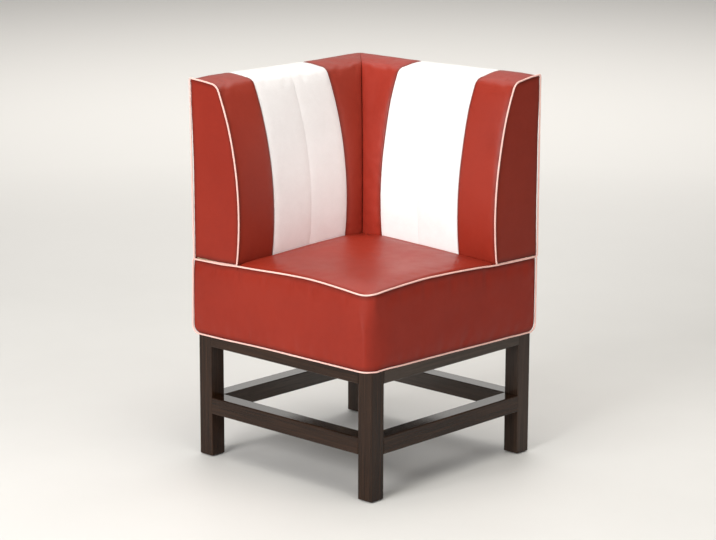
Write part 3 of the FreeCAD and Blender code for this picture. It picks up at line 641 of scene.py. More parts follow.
def rounded_path(points, radii, closed, step=1.0):
    """Straight runs with round bends, each bend as 13 points."""
    pts = [np.array(q, float) for q in points]
    n = len(pts)
    out = []
    for i in range(n):
        if not closed and i in (0, n - 1):
            out.append(pts[i])
            continue
        a, b = pts[i - 1] - pts[i], pts[(i + 1) % n] - pts[i]
        la, lb = np.linalg.norm(a), np.linalg.norm(b)
        a, b = a / la, b / lb
        half = math.acos(np.clip(-(a @ b), -1, 1)) / 2
        if half < 1e-4 or radii[i] <= 0:
            out.append(pts[i])
            continue
        d = min(radii[i] * math.tan(half), 0.49 * min(la, lb))
        r = d / math.tan(half)
        way = (a + b) / np.linalg.norm(a + b)
        centre = pts[i] + way * (r / math.cos(half))
        p0, p1 = pts[i] + a * d, pts[i] + b * d
        v0, v1 = p0 - centre, p1 - centre
        total = math.acos(np.clip((v0 @ v1) / (r * r), -1, 1))
        for k in range(13):
            t = k / 12
            v = (math.sin((1 - t) * total) * v0 + math.sin(t * total) * v1) / math.sin(total)
            out.append(centre + v)
    return np.array(out)


# ---------------------------------------------------------------- materials
def new_material(name):
    m = bpy.data.materials.new(name)
    m.use_nodes = True
    nt = m.node_tree
    nt.nodes.clear()
    out = nt.nodes.new("ShaderNodeOutputMaterial")
    b = nt.nodes.new("ShaderNodeBsdfPrincipled")
    nt.links.new(b.outputs["BSDF"], out.inputs["Surface"])
    return m, nt, b


def node(nt, kind, **values):
    n = nt.nodes.new(kind)
    for k, v in values.items():
        if k in n.inputs.keys():
            n.inputs[k].default_value = v
        else:
            setattr(n, k, v)
    return n


def ramp(nt, source, stops):
    r = nt.nodes.new("ShaderNodeValToRGB")
    e = r.color_ramp.elements
    while len(e) < len(stops):
        e.new(0.5)
    for i, (pos, col) in enumerate(stops):
        e[i].position = pos
        e[i].color = (col, col, col, 1) if isinstance(col, (int, float)) else (*col, 1)
    nt.links.new(source, r.inputs["Fac"])
    return r.outputs["Color"]


def noise(nt, vec, scale, detail=3.0, rough=0.5, distortion=0.0):
    n = node(nt, "ShaderNodeTexNoise", Scale=scale, Detail=detail, Roughness=rough, Distortion=distortion)
    nt.links.new(vec, n.inputs["Vector"])
    return n.outputs["Fac"]


def mapped(nt, vec, scale=(1, 1, 1), offset=None):
    n = nt.nodes.new("ShaderNodeMapping")
    n.inputs["Scale"].default_value = scale
    nt.links.new(vec, n.inputs["Vector"])
    if offset is not None:
        nt.links.new(offset, n.inputs["Location"])
    return n.outputs["Vector"]


def mix(nt, fac, a, b, blend="MIX"):
    n = nt.nodes.new("ShaderNodeMix")
    n.data_type = "RGBA"
    n.blend_type = blend
    for sock, v in ((n.inputs[0], fac), (n.inputs[6], a), (n.inputs[7], b)):
        if isinstance(v, bpy.types.NodeSocket):
            nt.links.new(v, sock)
        elif isinstance(v, (int, float)):
            sock.default_value = v
        else:
            sock.default_value = (*v, 1)
    return n.outputs[2]


def math_node(nt, op, a, b=None, clamp=False):
    n = nt.nodes.new("ShaderNodeMath")
    n.operation = op
    n.use_clamp = clamp
    for i, v in enumerate((a, b)):
        if v is None:
            continue
        if isinstance(v, bpy.types.NodeSocket):
            nt.links.new(v, n.inputs[i])
        else:
            n.inputs[i].default_value = v
    return n.outputs[0]


def map_range(nt, v, a, b, c, d):
    n = nt.nodes.new("ShaderNodeMapRange")
    nt.links.new(v, n.inputs["Value"])
    for k, x in zip(("From Min", "From Max", "To Min", "To Max"), (a, b, c, d)):
        n.inputs[k].default_value = x
    return n.outputs["Result"]


def bump(nt, height, strength, distance, normal=None):
    n = node(nt, "ShaderNodeBump", Strength=strength, Distance=distance)
    nt.links.new(height, n.inputs["Height"])
    if normal is not None:
        nt.links.new(normal, n.inputs["Normal"])
    return n.outputs["Normal"]


def leatherette(name, deep, full, rough=(0.37, 0.46), grain=1050.0, grain_strength=0.35, shine=0.32, foot=1.0):
    """Coated fabric: a fine pebbled grain, slight differences of tone and shine. foot is how much paler it is painted
    low down on the backs, as painted light that lightens their lower parts."""
    m, nt, b = new_material(name)
    v = nt.nodes.new("ShaderNodeTexCoord").outputs["Object"]
    big = noise(nt, v, 4.5, 3, 0.55)
    fine = noise(nt, v, 70.0, 4, 0.6)
    tone = math_node(nt, "ADD", math_node(nt, "MULTIPLY", big, 0.75), math_node(nt, "MULTIPLY", fine, 0.25))
    vor = node(nt, "ShaderNodeTexVoronoi", feature="SMOOTH_F1", Scale=grain, Smoothness=0.35)
    nt.links.new(v, vor.inputs["Vector"])
    cell = vor.outputs["Distance"]
    colour = mix(nt, map_range(nt, tone, 0.38, 0.62, 0, 1), deep, full)
    pit = map_range(nt, cell, 0.25, 0.75, 0.0, 0.10)
    colour = mix(nt, pit, colour, tuple(c * 0.55 for c in deep))
    # painted light: foot lightens the colour low down on the backs, standing in for light reaching their lower parts
    if foot != 1.0:
        axes = nt.nodes.new("ShaderNodeSeparateXYZ")
        nt.links.new(v, axes.inputs[0])
        paler = map_range(nt, axes.outputs["Z"], 0.50, 0.78, foot, 1.0)
        grey = nt.nodes.new("ShaderNodeCombineColor")
        for k in range(3):
            nt.links.new(paler, grey.inputs[k])
        colour = mix(nt, 1.0, colour, grey.outputs[0], "MULTIPLY")
    # painted shade: the colour is darkened by the seam_shade marks, a painted shadow line along the seams
    near = nt.nodes.new("ShaderNodeAttribute")
    near.attribute_name = "seam_shade"
    unshaded = math_node(nt, "SUBTRACT", 1.0, near.outputs["Fac"])
    shade = nt.nodes.new("ShaderNodeCombineColor")
    for k in range(3):
        nt.links.new(unshaded, shade.inputs[k])
    colour = mix(nt, 1.0, colour, shade.outputs[0], "MULTIPLY")
    nt.links.new(colour, b.inputs["Base Color"])
    r = map_range(nt, noise(nt, v, 22.0, 4, 0.6), 0.3, 0.7, rough[0], rough[1])
    nt.links.new(r, b.inputs["Roughness"])
    b.inputs["Specular IOR Level"].default_value = shine
    soft = bump(nt, noise(nt, v, 38.0, 3, 0.55), 0.22, 0.0012)
    pebble = bump(nt, math_node(nt, "SUBTRACT", 1.0, cell), grain_strength, 0.00022, soft)
    nt.links.new(pebble, b.inputs["Normal"])
    return m


def timber(name, axis, dark, mid, light, rough=(0.34, 0.46), streak=1.0, shine=0.5, worn=None, thick_from=None):
    """Wood with its grain along axis: broad bands, fine streaks and pores. The lacquer lies thicker on what is above
    the height thick_from, in metres."""
    m, nt, b = new_material(name)
    tc = nt.nodes.new("ShaderNodeTexCoord").outputs["Object"]
    rnd = nt.nodes.new("ShaderNodeObjectInfo").outputs["Random"]
    off = nt.nodes.new("ShaderNodeCombineXYZ")
    for i, k in enumerate((7.0, 13.0, 19.0)):
        nt.links.new(math_node(nt, "MULTIPLY", rnd, k), off.inputs[i])
    off = off.outputs["Vector"]

    def stretched(long, cross):
        s = [cross] * 3
        s[axis] = long
        return mapped(nt, tc, tuple(s), off)

    bands = noise(nt, stretched(2.2, 26.0), 1.0, 4, 0.55, 0.6)
    lines_ = noise(nt, stretched(5.0, 210.0), 1.0, 4, 0.6, 0.2)
    pores = noise(nt, stretched(24.0, 1300.0), 1.0, 2, 0.5)
    col = mix(nt, map_range(nt, bands, 0.32, 0.68, 0, 1), dark, mid)
    col = mix(nt, math_node(nt, "MULTIPLY", map_range(nt, lines_, 0.42, 0.72, 0, 1), 0.75 * streak), col, light)
    pore = map_range(nt, pores, 0.60, 0.70, 0.0, 0.65)
    col = mix(nt, pore, col, tuple(c * 0.35 for c in dark))
    if worn is not None:
        bev = nt.nodes.new("ShaderNodeBevel")
        bev.samples = 4
        bev.inputs["Radius"].default_value = 0.0022
        geo = nt.nodes.new("ShaderNodeNewGeometry")
        dot = nt.nodes.new("ShaderNodeVectorMath")
        dot.operation = "DOT_PRODUCT"
        nt.links.new(bev.outputs["Normal"], dot.inputs[0])
        nt.links.new(geo.outputs["Normal"], dot.inputs[1])
        edge = map_range(nt, dot.outputs["Value"], 0.999, 0.93, 0.0, 1.0)
        rub = map_range(nt, noise(nt, tc, 30.0, 4, 0.7), 0.45, 0.70, 0.0, 0.55)
        col = mix(nt, math_node(nt, "MULTIPLY", edge, rub), col, worn)
    nt.links.new(col, b.inputs["Base Color"])
    r = map_range(nt, lines_, 0.3, 0.7, rough[0], rough[1])
    nt.links.new(r, b.inputs["Roughness"])
    b.inputs["Specular IOR Level"].default_value = shine
    if thick_from is not None:
        place = nt.nodes.new("ShaderNodeSeparateXYZ")
        nt.links.new(tc, place.inputs[0])
        nt.links.new(map_range(nt, place.outputs["Z"], thick_from, thick_from + 0.0003, 0.0, 1.0), b.inputs["Coat Weight"])
        b.inputs["Coat Roughness"].default_value = 0.12
        b.inputs["Coat IOR"].default_value = 1.65
    n1 = bump(nt, lines_, 0.18, 0.0004)
    n2 = bump(nt, math_node(nt, "SUBTRACT", 1.0, pore), 0.25, 0.00012, n1)
    nt.links.new(n2, b.inputs["Normal"])
    return m


def plain(name, a, b_, scale, rough, metallic=0.0, bump_scale=300.0, bump_strength=0.2, bump_distance=0.0002):
    m, nt, b = new_material(name)
    v = nt.nodes.new("ShaderNodeTexCoord").outputs["Object"]
    f = noise(nt, v, scale, 4, 0.6)
    nt.links.new(mix(nt, map_range(nt, f, 0.35, 0.65, 0, 1), a, b_), b.inputs["Base Color"])
    nt.links.new(map_range(nt, noise(nt, v, scale * 2.3, 3, 0.5), 0.3, 0.7, rough[0], rough[1]), b.inputs["Roughness"])
    b.inputs["Metallic"].default_value = metallic
    nt.links.new(bump(nt, noise(nt, v, bump_scale, 3, 0.6), bump_strength, bump_distance), b.inputs["Normal"])
    return m


def lining_cloth(name):
    """Black non-woven lining with pressed dots."""
    m, nt, b = new_material(name)
    v = nt.nodes.new("ShaderNodeTexCoord").outputs["Object"]
    vor = node(nt, "ShaderNodeTexVoronoi", feature="F1", Scale=420.0)
    nt.links.new(v, vor.inputs["Vector"])
    dots = map_range(nt, vor.outputs["Distance"], 0.12, 0.30, 1.0, 0.0)
    fibres = noise(nt, v, 900.0, 4, 0.7, 1.5)
    col = mix(nt, fibres, (0.012, 0.012, 0.013), (0.045, 0.045, 0.047))
    col = mix(nt, math_node(nt, "MULTIPLY", dots, 0.6), col, (0.012, 0.012, 0.013))
    nt.links.new(col, b.inputs["Base Color"])
    b.inputs["Roughness"].default_value = 0.9
    n1 = bump(nt, fibres, 0.5, 0.0003)
    nt.links.new(bump(nt, dots, 0.4, -0.0003, n1), b.inputs["Normal"])
    return m


# painted light: the copies below the seat's red differ in colour to paint in the light or shade each part gets; the
# sides' and ends' are also rougher, and foot paints the backs paler low down
RED = leatherette("red_leatherette_finish", (0.246, 0.0178, 0.0071), (0.280, 0.0220, 0.0090))
RED_SIDE = leatherette("red_side_painted_shade", (0.236, 0.0170, 0.0073), (0.268, 0.0210, 0.0092), rough=(0.42, 0.51), shine=0.2)
RED_BACK = leatherette("red_back_finish", (0.252, 0.0212, 0.0101), (0.286, 0.0257, 0.0126), shine=0.28, foot=1.10)
RED_BACK_LEFT = leatherette("red_back_left_finish", (0.248, 0.0250, 0.0124), (0.281, 0.0302, 0.0155), shine=0.28, foot=1.0)
RED_INNER = leatherette("red_inner_painted_light", (0.274, 0.0244, 0.0134), (0.311, 0.0296, 0.0166), shine=0.28, foot=1.32)
RED_INNER_LEFT = leatherette("red_inner_left_painted_light", (0.262, 0.0285, 0.0152), (0.297, 0.0342, 0.0188), shine=0.28, foot=1.34)
RED_END = leatherette("red_end_painted_shade", (0.217, 0.0196, 0.0086), (0.247, 0.0240, 0.0108), rough=(0.42, 0.51), shine=0.2)
# painted light: foot lightens both whites low down on the backs, and the left back's white is a darker copy, painted
# shade for the side that gets less light
WHITE = leatherette("white_leatherette_painted_low_light", (0.755, 0.735, 0.725), (0.81, 0.795, 0.785), rough=(0.38, 0.48), foot=1.24)
WHITE_LEFT = leatherette("white_left_painted_shade", (0.728, 0.700, 0.692), (0.782, 0.757, 0.750), rough=(0.38, 0.48), foot=1.28)
# painted reflection: the piping is white; its peach tone paints in the red light that the red cover throws onto it
PIPE = leatherette("white_piping_painted_red_bounce", (0.80, 0.49, 0.43), (0.87, 0.55, 0.49), rough=(0.36, 0.44), grain=1500.0,
                   grain_strength=0.2)
ESPRESSO = {k: timber("espresso_wood_" + "xyz"[k], k, (0.0110, 0.0047, 0.0023), (0.0240, 0.0107, 0.0054),
                      (0.043, 0.0200, 0.0105), rough=(0.09, 0.16), worn=(0.10, 0.062, 0.040), shine=0.22)
            for k in range(3)}
# painted light: a paler copy of the same espresso wood, painting in bounce light on the right top rail
ESPRESSO_PAINTED_BOUNCE = {k: timber("espresso_wood_painted_bounce_" + "xyz"[k], k, (0.037, 0.0280, 0.0225), (0.053, 0.0370, 0.0285),
                           (0.072, 0.0475, 0.035), rough=(0.09, 0.16), worn=(0.10, 0.062, 0.040), shine=0.22)
                 for k in range(3)}
STRETCHER_TOP = max(v.co.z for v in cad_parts["stretcher_front"].data.vertices) - 0.0005
ESPRESSO_LOW = {k: timber("espresso_wood_low_" + "xyz"[k], k, (0.0110, 0.0047, 0.0023), (0.0240, 0.0107, 0.0054),
                          (0.043, 0.0200, 0.0105), rough=(0.09, 0.16), worn=(0.10, 0.062, 0.040), shine=0.22,
                          thick_from=STRETCHER_TOP)
                for k in range(2)}
# painted light: the paler copy again, with the thicker lacquer on top, painting in bounce light on the rear and left
# stretchers
ESPRESSO_LOW_PAINTED_BOUNCE = {k: timber("espresso_wood_low_painted_bounce_" + "xyz"[k], k, (0.037, 0.0280, 0.0225), (0.053, 0.0370, 0.0285),
                               (0.072, 0.0475, 0.035), rough=(0.09, 0.16), worn=(0.10, 0.062, 0.040), shine=0.5,
                               thick_from=STRETCHER_TOP)
                     for k in range(2)}
# painted light: a less dark copy of the same wood, painting fill light on the two rear legs
ESPRESSO_PAINTED_FILL = {k: timber("espresso_wood_painted_fill_" + "xyz"[k], k, (0.021, 0.0135, 0.0098), (0.036, 0.0210, 0.0142),
                          (0.056, 0.0315, 0.0208), rough=(0.09, 0.16), worn=(0.10, 0.062, 0.040), shine=0.22)
                for k in range(3)}
RAW = {k: timber("raw_timber_" + "xyz"[k], k, (0.46, 0.31, 0.18), (0.58, 0.42, 0.26), (0.66, 0.51, 0.34),
                 rough=(0.6, 0.75)) for k in range(3)}
PLY = {k: timber("plywood_" + "xyz"[k], k, (0.50, 0.36, 0.22), (0.62, 0.47, 0.31), (0.70, 0.56, 0.40),
                 rough=(0.6, 0.75), streak=0.6) for k in range(3)}
FOAM_MAT = plain("foam_finish", (0.70, 0.63, 0.42), (0.80, 0.73, 0.54), 30, (0.85, 0.95), 0, 900, 0.6, 0.0005)
ZINC = plain("zinc_steel_finish", (0.42, 0.42, 0.43), (0.62, 0.62, 0.63), 160, (0.28, 0.45), 1.0, 500, 0.1, 0.0001)
NYLON = plain("nylon_finish", (0.020, 0.018, 0.016), (0.035, 0.031, 0.028), 90, (0.45, 0.6), 0, 700, 0.15, 0.0001)
LINING = lining_cloth("black_lining_finish")

# ---------------------------------------------------------------- the carried-over nodes
GRAIN = {
    "leg_front_left": 2, "leg_front_right": 2, "leg_rear_left": 2, "leg_rear_right": 2,
    "top_rail_front": 0, "top_rail_rear": 0, "top_rail_left": 1, "top_rail_right": 1,
    "stretcher_front": 0, "stretcher_rear": 0, "stretcher_left": 1, "stretcher_right": 1,
}
NODE_MATERIAL = {n: ESPRESSO[k] for n, k in GRAIN.items()}
# these parts are the same espresso wood; their copies only paint in light
NODE_MATERIAL.update({"top_rail_right": ESPRESSO_PAINTED_BOUNCE[1], "leg_rear_right": ESPRESSO_PAINTED_FILL[2], "leg_rear_left": ESPRESSO_PAINTED_FILL[2],
                      "stretcher_left": ESPRESSO_LOW_PAINTED_BOUNCE[1], "stretcher_rear": ESPRESSO_LOW_PAINTED_BOUNCE[0],
                      "stretcher_front": ESPRESSO_LOW[0], "stretcher_right": ESPRESSO_LOW[1]})
NODE_MATERIAL.update({
    "corner_blocks": RAW[0], "back_bearer_left": RAW[1], "back_bearer_rear": RAW[0],
    "left_back_bottom_rail": RAW[1], "left_back_top_rail": RAW[1], "rear_back_bottom_rail": RAW[0],
    "rear_back_top_rail": RAW[0], "seat_box_front": PLY[0], "seat_box_rear": PLY[0], "seat_box_left": PLY[1],
    "seat_box_right": PLY[1], "seat_deck": PLY[0], "left_back_front_board": PLY[1], "rear_back_front_board": PLY[0],
    "left_back_rib_outer": PLY[2], "left_back_rib_middle": PLY[2], "left_back_rib_inner": PLY[2],
    "rear_back_rib_outer": PLY[2], "rear_back_rib_middle": PLY[2], "rear_back_rib_inner": PLY[2],
    "back_fixing_bolts": ZINC, "back_tee_nuts": ZINC, "corner_block_screws": ZINC, "seat_fixing_screws": ZINC,
    "leg_glides": NYLON, "seat_foam": FOAM_MAT, "left_back_foam": FOAM_MAT, "rear_back_foam": FOAM_MAT,
    "seat_side_padding": FOAM_MAT,
})
for name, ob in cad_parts.items():
    mat = NODE_MATERIAL.get(name)
    if mat is None:
        mat = WHITE if "stripe" in name else PIPE if "piping" in name else LINING if "dust" in name else RED
    ob.data.materials.clear()
    ob.data.materials.append(mat)


def finish_piece(ob, material, nodes):
    ob.data.materials.append(material)
    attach(ob, "root")
    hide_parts(*nodes)
    return ob


# ---------------------------------------------------------------- seat: top cushion
SEAT_X = seat_lines(5.2)
SEAT_Y = -SEAT_X[::-1]


def grid_normals(p):
    du = np.gradient(p, axis=0)
    dv = np.gradient(p, axis=1)
    n = np.cross(du, dv)
    return n / np.maximum(np.linalg.norm(n, axis=-1), 1e-9)[..., None]


seat_lift = None
cx = np.linspace(-CREASE + 1, HALF - 1, 34)
cy = -cx[::-1]
o, i, _ = seat_layers(cx, cy)
i[..., 2] = o[..., 2] - 60
m = swell(o, i, pressure=3.0, slack=0.006)
up = lift_from(m, np.broadcast_to(np.array([0, 0, 1.0]), o.shape), 3.0)
up -= up.mean()
up = np.clip(up, -2.0, 2.0)
full = spread(up, cx, cy, np.clip(SEAT_X, cx[0], cx[-1]), np.clip(SEAT_Y, cy[0], cy[-1]))
gx, gy = np.meshgrid(SEAT_X, SEAT_Y, indexing="ij")
_, dd = seat_height(*plan_warp(gx, gy))
inner_d = np.clip(np.minimum(gx + CREASE, CREASE - gy) / 16, 0, 1)
seat_lift = full * smooth(dd / 26) * smooth(inner_d) * 0.6

o, i, _ = seat_layers(SEAT_X, SEAT_Y, seat_lift)
seat_top = mesh_object("seat_top_cushion", *solid_parts([o, i]))
shade_seams(seat_top, o, "Ab", 11.0, 0.45)
finish_piece(seat_top, RED, ["seat_cover_top", "seat_foam"])

# ---------------------------------------------------------------- seat: side covers
front_path = [(-HALF, -HALF), (HALF, -HALF), (HALF, HALF)]


def front_top(q):
    """Upper seam of the front and right side covers, just below the piping."""
    return edge_along(q[:, 0], q[:, 1], HALF) - 2.2


fp = outline(front_path, (0, PLAN_R, 0))
F_LEN = arc_lengths(fp)[-1]
f_mid = F_LEN / 2
f_lines = np.unique(np.concatenate([
    lines(0, f_mid - 30, 5.2, True, False), lines(f_mid - 30, f_mid + 30, 2.4, False, False),
    lines(f_mid + 30, F_LEN, 5.2, False, True)]).round(3))
v_lines = lines(0, 178, 5.0) / 178.0

lift = None
cu, cv = np.linspace(0, F_LEN, 76), np.linspace(0, 1, 15)
o, i, n = band_layers(front_path, (0, PLAN_R, 0), 0.0, front_top, cu, cv)
m = swell(o, i, pressure=3.0, slack=0.006)
n3 = np.concatenate([n, 0 * n[:, :1]], 1)[:, None, :] + 0 * o
up = lift_from(m, n3, 3.2)
lift = spread(up, cu, cv, f_lines, v_lines) * 0.75 * (1 - np.exp(-((f_lines - f_mid) / 50.0) ** 4))[:, None]
o, i, _ = band_layers(front_path, (0, PLAN_R, 0), 0.6 if lift is not None else 2.6, front_top, f_lines, v_lines, lift,
                      slack=((0, PLAN_R, PLAN_R), (0.12, 46.0, 22.0), (0.45, 24.0, 50.0), (0.85, 18.0, 60.0),
                             (1, PLAN_R, PLAN_R)), drop=low_drop)
band = mesh_object("seat_side_cushion_front", *solid_parts([o, i]))
shade_seams(band, o, "aAbB")
finish_piece(band, RED_SIDE, ["seat_boxing_front", "seat_side_padding"])

rear_path = [(HALF, HALF), (-HALF, HALF), (-HALF, -HALF)]
rp = outline(rear_path, (0, 6.0, 0))
R_LEN = arc_lengths(rp)[-1]
r_mid = R_LEN / 2
r_lines = np.unique(np.concatenate([
    lines(0, r_mid - 8, 9.0, True, False), lines(r_mid - 8, r_mid + 8, 1.6, False, False),
    lines(r_mid + 8, R_LEN, 9.0, False, True)]).round(3))
o, i, _ = band_layers(rear_path, (0, 6.0, 0), 0.5, lambda q: 480.9 + 0 * q[:, 0], r_lines, v_lines, None, seed=15,
                      drop=lambda q: 3.0 * np.exp(-(np.minimum(HALF - q[:, 0], q[:, 1] + HALF) / 90.0) ** 2))
band_rear = mesh_object("seat_side_cushion_rear", *solid_parts([o, i]))
shade_seams(band_rear, o, "aAbB")
finish_piece(band_rear, RED_SIDE, ["seat_boxing_rear"])

# ---------------------------------------------------------------- seat: piping loop
u = np.linspace(0, 2 * HALF - PLAN_R, 240)
corner = rounded_path([(-PIPE_OUT, -PIPE_OUT, 0), (PIPE_OUT, -PIPE_OUT, 0), (PIPE_OUT, PIPE_OUT, 0)],
                      (0, PLAN_R + 1.8, 0), False)
cs = arc_lengths(corner)
plan = along(corner, np.linspace(0, cs[-1], 700))
hz = edge_along(plan[:, 0], plan[:, 1], PIPE_OUT)
for _ in range(12):
    hz[1:-1] = (hz[:-2] + 2 * hz[1:-1] + hz[2:]) / 4
top_line = plan.copy()
top_line[:, 2] = hz
low_line = plan.copy()[::-1]
tuck = LOW_IN + 1.7 * smooth((low_line[:, 1] + HALF - 50) / 110)      # on the right it lies half under the cover
low_line[:, 0] -= tuck * smooth((low_line[:, 0] - HALF + 30) / 30) * smooth((HALF - 6 - low_line[:, 1]) / 14)
low_line[:, 1] += LOW_IN * smooth((-HALF + 30 - low_line[:, 1]) / 30) * smooth((low_line[:, 0] + HALF - 6) / 14)
low_line[:, 2] = LOW_PIPE - low_drop(low_line)
top_line[:, 0] = drawn_in(top_line[:, 0], top_line[:, 1])
low_line[:, 0] = drawn_in(low_line[:, 0], low_line[:, 1])


def trim(line, start, end):
    s = arc_lengths(line)
    keep = (s > start) & (s < s[-1] - end)
    return line[keep]


R_TOP, R_LOW = 5.0, LOW_R + 1.0
joint_r = rounded_path([top_line[-60], top_line[-1], low_line[0], low_line[60]], (0, R_TOP, R_LOW, 0), False)[1:-1]
joint_l = rounded_path([low_line[-60], low_line[-1], top_line[0], top_line[60]], (0, R_LOW, R_TOP, 0), False)[1:-1]
loop = np.concatenate([trim(top_line, R_TOP + 1, R_TOP + 1), joint_r, trim(low_line, R_LOW + 1, R_LOW + 1), joint_l])
seat_piping = tube_object("seat_piping_loop", stood_out(loop), PIPE_R, True)
finish_piece(seat_piping, PIPE, ["seat_piping"])

# ---------------------------------------------------------------- backs
SEAM_RED = (3.1, 3.2, 0.9, 20)         # deep, rounding, pillow, reach
SEAM_WHITE = (2.3, 2.1, 0.9, 20)
SEAM_CENTRE = (0.35, 1.2, 0.45, 45)
SEAM_END = (2.9, 3.6, 1.0, 18)
SEAM_MITRE = (0.25, 0.8, 0.8, 14)
PANELS = {
    "panel_outer": (-BACK + 0.3, SEAMS[0] - 0.12, SEAM_END, SEAM_RED, RED_BACK, "red_leatherette"),
    "stripe_outer": (SEAMS[0] + 0.12, SEAMS[1] - 0.12, SEAM_WHITE, SEAM_CENTRE, WHITE, "white_leatherette"),
    "stripe_inner": (SEAMS[1] + 0.12, SEAMS[2] - 0.12, SEAM_CENTRE, SEAM_WHITE, WHITE, "white_leatherette"),
    "panel_inner": (SEAMS[2] + 0.12, None, SEAM_RED, SEAM_MITRE, RED_INNER, "red_leatherette"),
}
# the rear back's stripe is sewn a little nearer its outer end
REAR_SHIFT = {SEAMS[0]: -1.0, SEAMS[1]: -1.5, SEAMS[2]: -4.0}


def moved_seam(w, side):
    if side == "left" or w is None:
        return w
    near = min(SEAMS, key=lambda q: abs(q - w))
    return w + REAR_SHIFT[near] if abs(near - w) < 1 else w


EDGE_OUT = {
    "left": eased([480, 498, 526, 554, 600, 692, 720, 748, 776, 803, 831, 859, 920],
                  [-0.7, -0.7, -0.7, -0.6, -0.3, 0.0, 0.7, 1.7, 2.7, 3.9, 5.3, 6.5, 7.0], 1000, 501, 10),
    "rear": eased([480, 498, 526, 554, 610, 700, 776, 803, 831, 859, 887, 920],
                  [5.0, 5.4, 4.6, 3.6, 2.9, 3.3, 3.0, 3.7, 4.8, 5.6, 5.4, 4.0], 1000, 501, 10),
}


def settled(p, side):
    """The two backs aren't quite alike. The left one's outer top corner has sunk a little, and the rear one leans
    forward at its top and stands a little taller at its outer end. Their outer rear edges aren't quite upright."""
    x, y, z = p[..., 0], p[..., 1], p[..., 2]
    out = p.copy()
    x = x - np.interp(z, *EDGE_OUT[side]) * smooth((-BACK + 58 - x) / 56) * smooth((-BACK + 70 - y) / 68)
    out[..., 0] = x
    top = smooth((z - 800) / 80)
    if side == "left":
        out[..., 2] = z - 4.3 * top * smooth((-BACK + 66 - y) / 60)
        return out
    outer_part = np.clip((142 - y) / 427, 0, 1)
    end = smooth((y + BACK) / 70)
    out[..., 2] = z + top * smooth((-195 - x) / 80) * (outer_part * (1.2 + 3.2 * end) + 1.3 * (1 - smooth((y - 140) / 120)))
    lean = smooth((z - 730) / 130) * smooth((x + 262) / 60) * (1 - smooth((y - SEAMS[2]) / 55))
    out[..., 0] = x + lean * (3.3 + 1.9 * smooth((y + BACK) / 70))
    return out


coarse_s = np.linspace(0, S_END, 40)
coarse_w = np.linspace(0, 1, 12)
for key, (w0, w1, seam0, seam1, mat, slot) in PANELS.items():
    width = (w1 if w1 is not None else 190.0) - w0
    frac = lines(0, width, 5.0) / width
    lift = None
    o, i = back_panel(w0, w1, (0, 1, 0, 1), (0, 1, 0, 1), coarse_s, coarse_w)
    m = swell(o, i, pressure=3.0, slack=0.005)
    _, n = section_at(coarse_s)
    n3 = np.stack([n[:, 0], 0 * n[:, 0], n[:, 1]], -1)[:, None, :] + 0 * o
    up = lift_from(m, n3, 2.6)
    lift = spread(up, coarse_s, coarse_w, S_LINES, frac) * 0.7
    for side in ("left", "rear"):
        if side == "rear":      # its stripe is drawn tighter, so the seam down the middle hardly shows
            seam0, seam1 = (tuple(q * 0.3 for q in k[:1]) + k[1:2] + (k[2] * 0.25, k[3]) if k == SEAM_CENTRE else k
                            for k in (seam0, seam1))
        o, i = back_panel(moved_seam(w0, side), moved_seam(w1, side), seam0, seam1, S_LINES, frac, lift,
                          seed=20 + len(key) + (7 if side == "rear" else 0))
        o = settled(o, side)
        layers = [o, i]
        if key == "panel_outer":
            rim = o.copy()
            t = np.clip(6.2 / 36.0, 0, 1)
            rim = o * (1 - t) + i * t
            rim[:, 0, 1] = -BACK + 6.3
            i[:, 0, 1] = -BACK + 6.3
            layers = [o, rim, i]
        if side == "rear":
            layers = [mirrored(q) for q in layers]
        ob = mesh_object("%s_back_%s_cushion" % (side, key), *solid_parts(layers))
        if "panel" in key:
            shade_seams(ob, layers[0], "abB" if "outer" in key else "ab")
        own = {RED_BACK: RED_BACK_LEFT, RED_INNER: RED_INNER_LEFT, WHITE: WHITE_LEFT}[mat] if side == "left" else mat
        finish_piece(ob, own, ["%s_back_%s" % (side, key), "%s_back_foam" % side])


def coons(bottom, top, left, right, u, v):
    """A patch between four lines. u runs along bottom and top, v along left and right."""
    b, t = along(bottom, u * arc_lengths(bottom)[-1]), along(top, u * arc_lengths(top)[-1])
    l, r = along(left, v * arc_lengths(left)[-1]), along(right, v * arc_lengths(right)[-1])
    U, Vv = u[:, None, None], v[None, :, None]
    return ((1 - Vv) * b[:, None] + Vv * t[:, None] + (1 - U) * l[None] + U * r[None]
            - (1 - U) * (1 - Vv) * b[0] - U * (1 - Vv) * b[-1] - (1 - U) * Vv * t[0] - U * Vv * t[-1])


# end covers
FOOT, FOOT_REAR = 487.0, 485.3
k_mid = (N_TOP + N_ARC) // 2
top_edge = SECTION[:k_mid + 1]
front_edge = SECTION[k_mid:]
front_edge = front_edge[front_edge[:, 1] >= FOOT][::-1]
foot_front = front_edge[0]
low_edge = np.linspace([-BACK, FOOT_REAR], foot_front, 40)
low_edge[:, 1] = FOOT_REAR + (FOOT - FOOT_REAR) * smooth((np.linspace(0, 1, 40) - 0.55) / 0.4)
low_edge[-1] = foot_front
rear_edge = np.linspace([-BACK, FOOT_REAR], top_edge[0], 80)
eu = lines(0, 150, 5.0) / 150
ev = lines(0, 428, 5.0) / 428
patch = coons(low_edge, top_edge, rear_edge, front_edge, eu, ev)
rim_line = np.concatenate([low_edge, front_edge, top_edge[::-1], rear_edge[::-1]])
rim_line = along(rim_line, np.linspace(0, arc_lengths(rim_line)[-1], 900))
flat = patch.reshape(-1, 2)
dist = np.sqrt(((flat[:, None] - rim_line[None]) ** 2).sum(-1)).min(1).reshape(patch.shape[:2])
centre_pt = np.array([-225.0, 690.0])
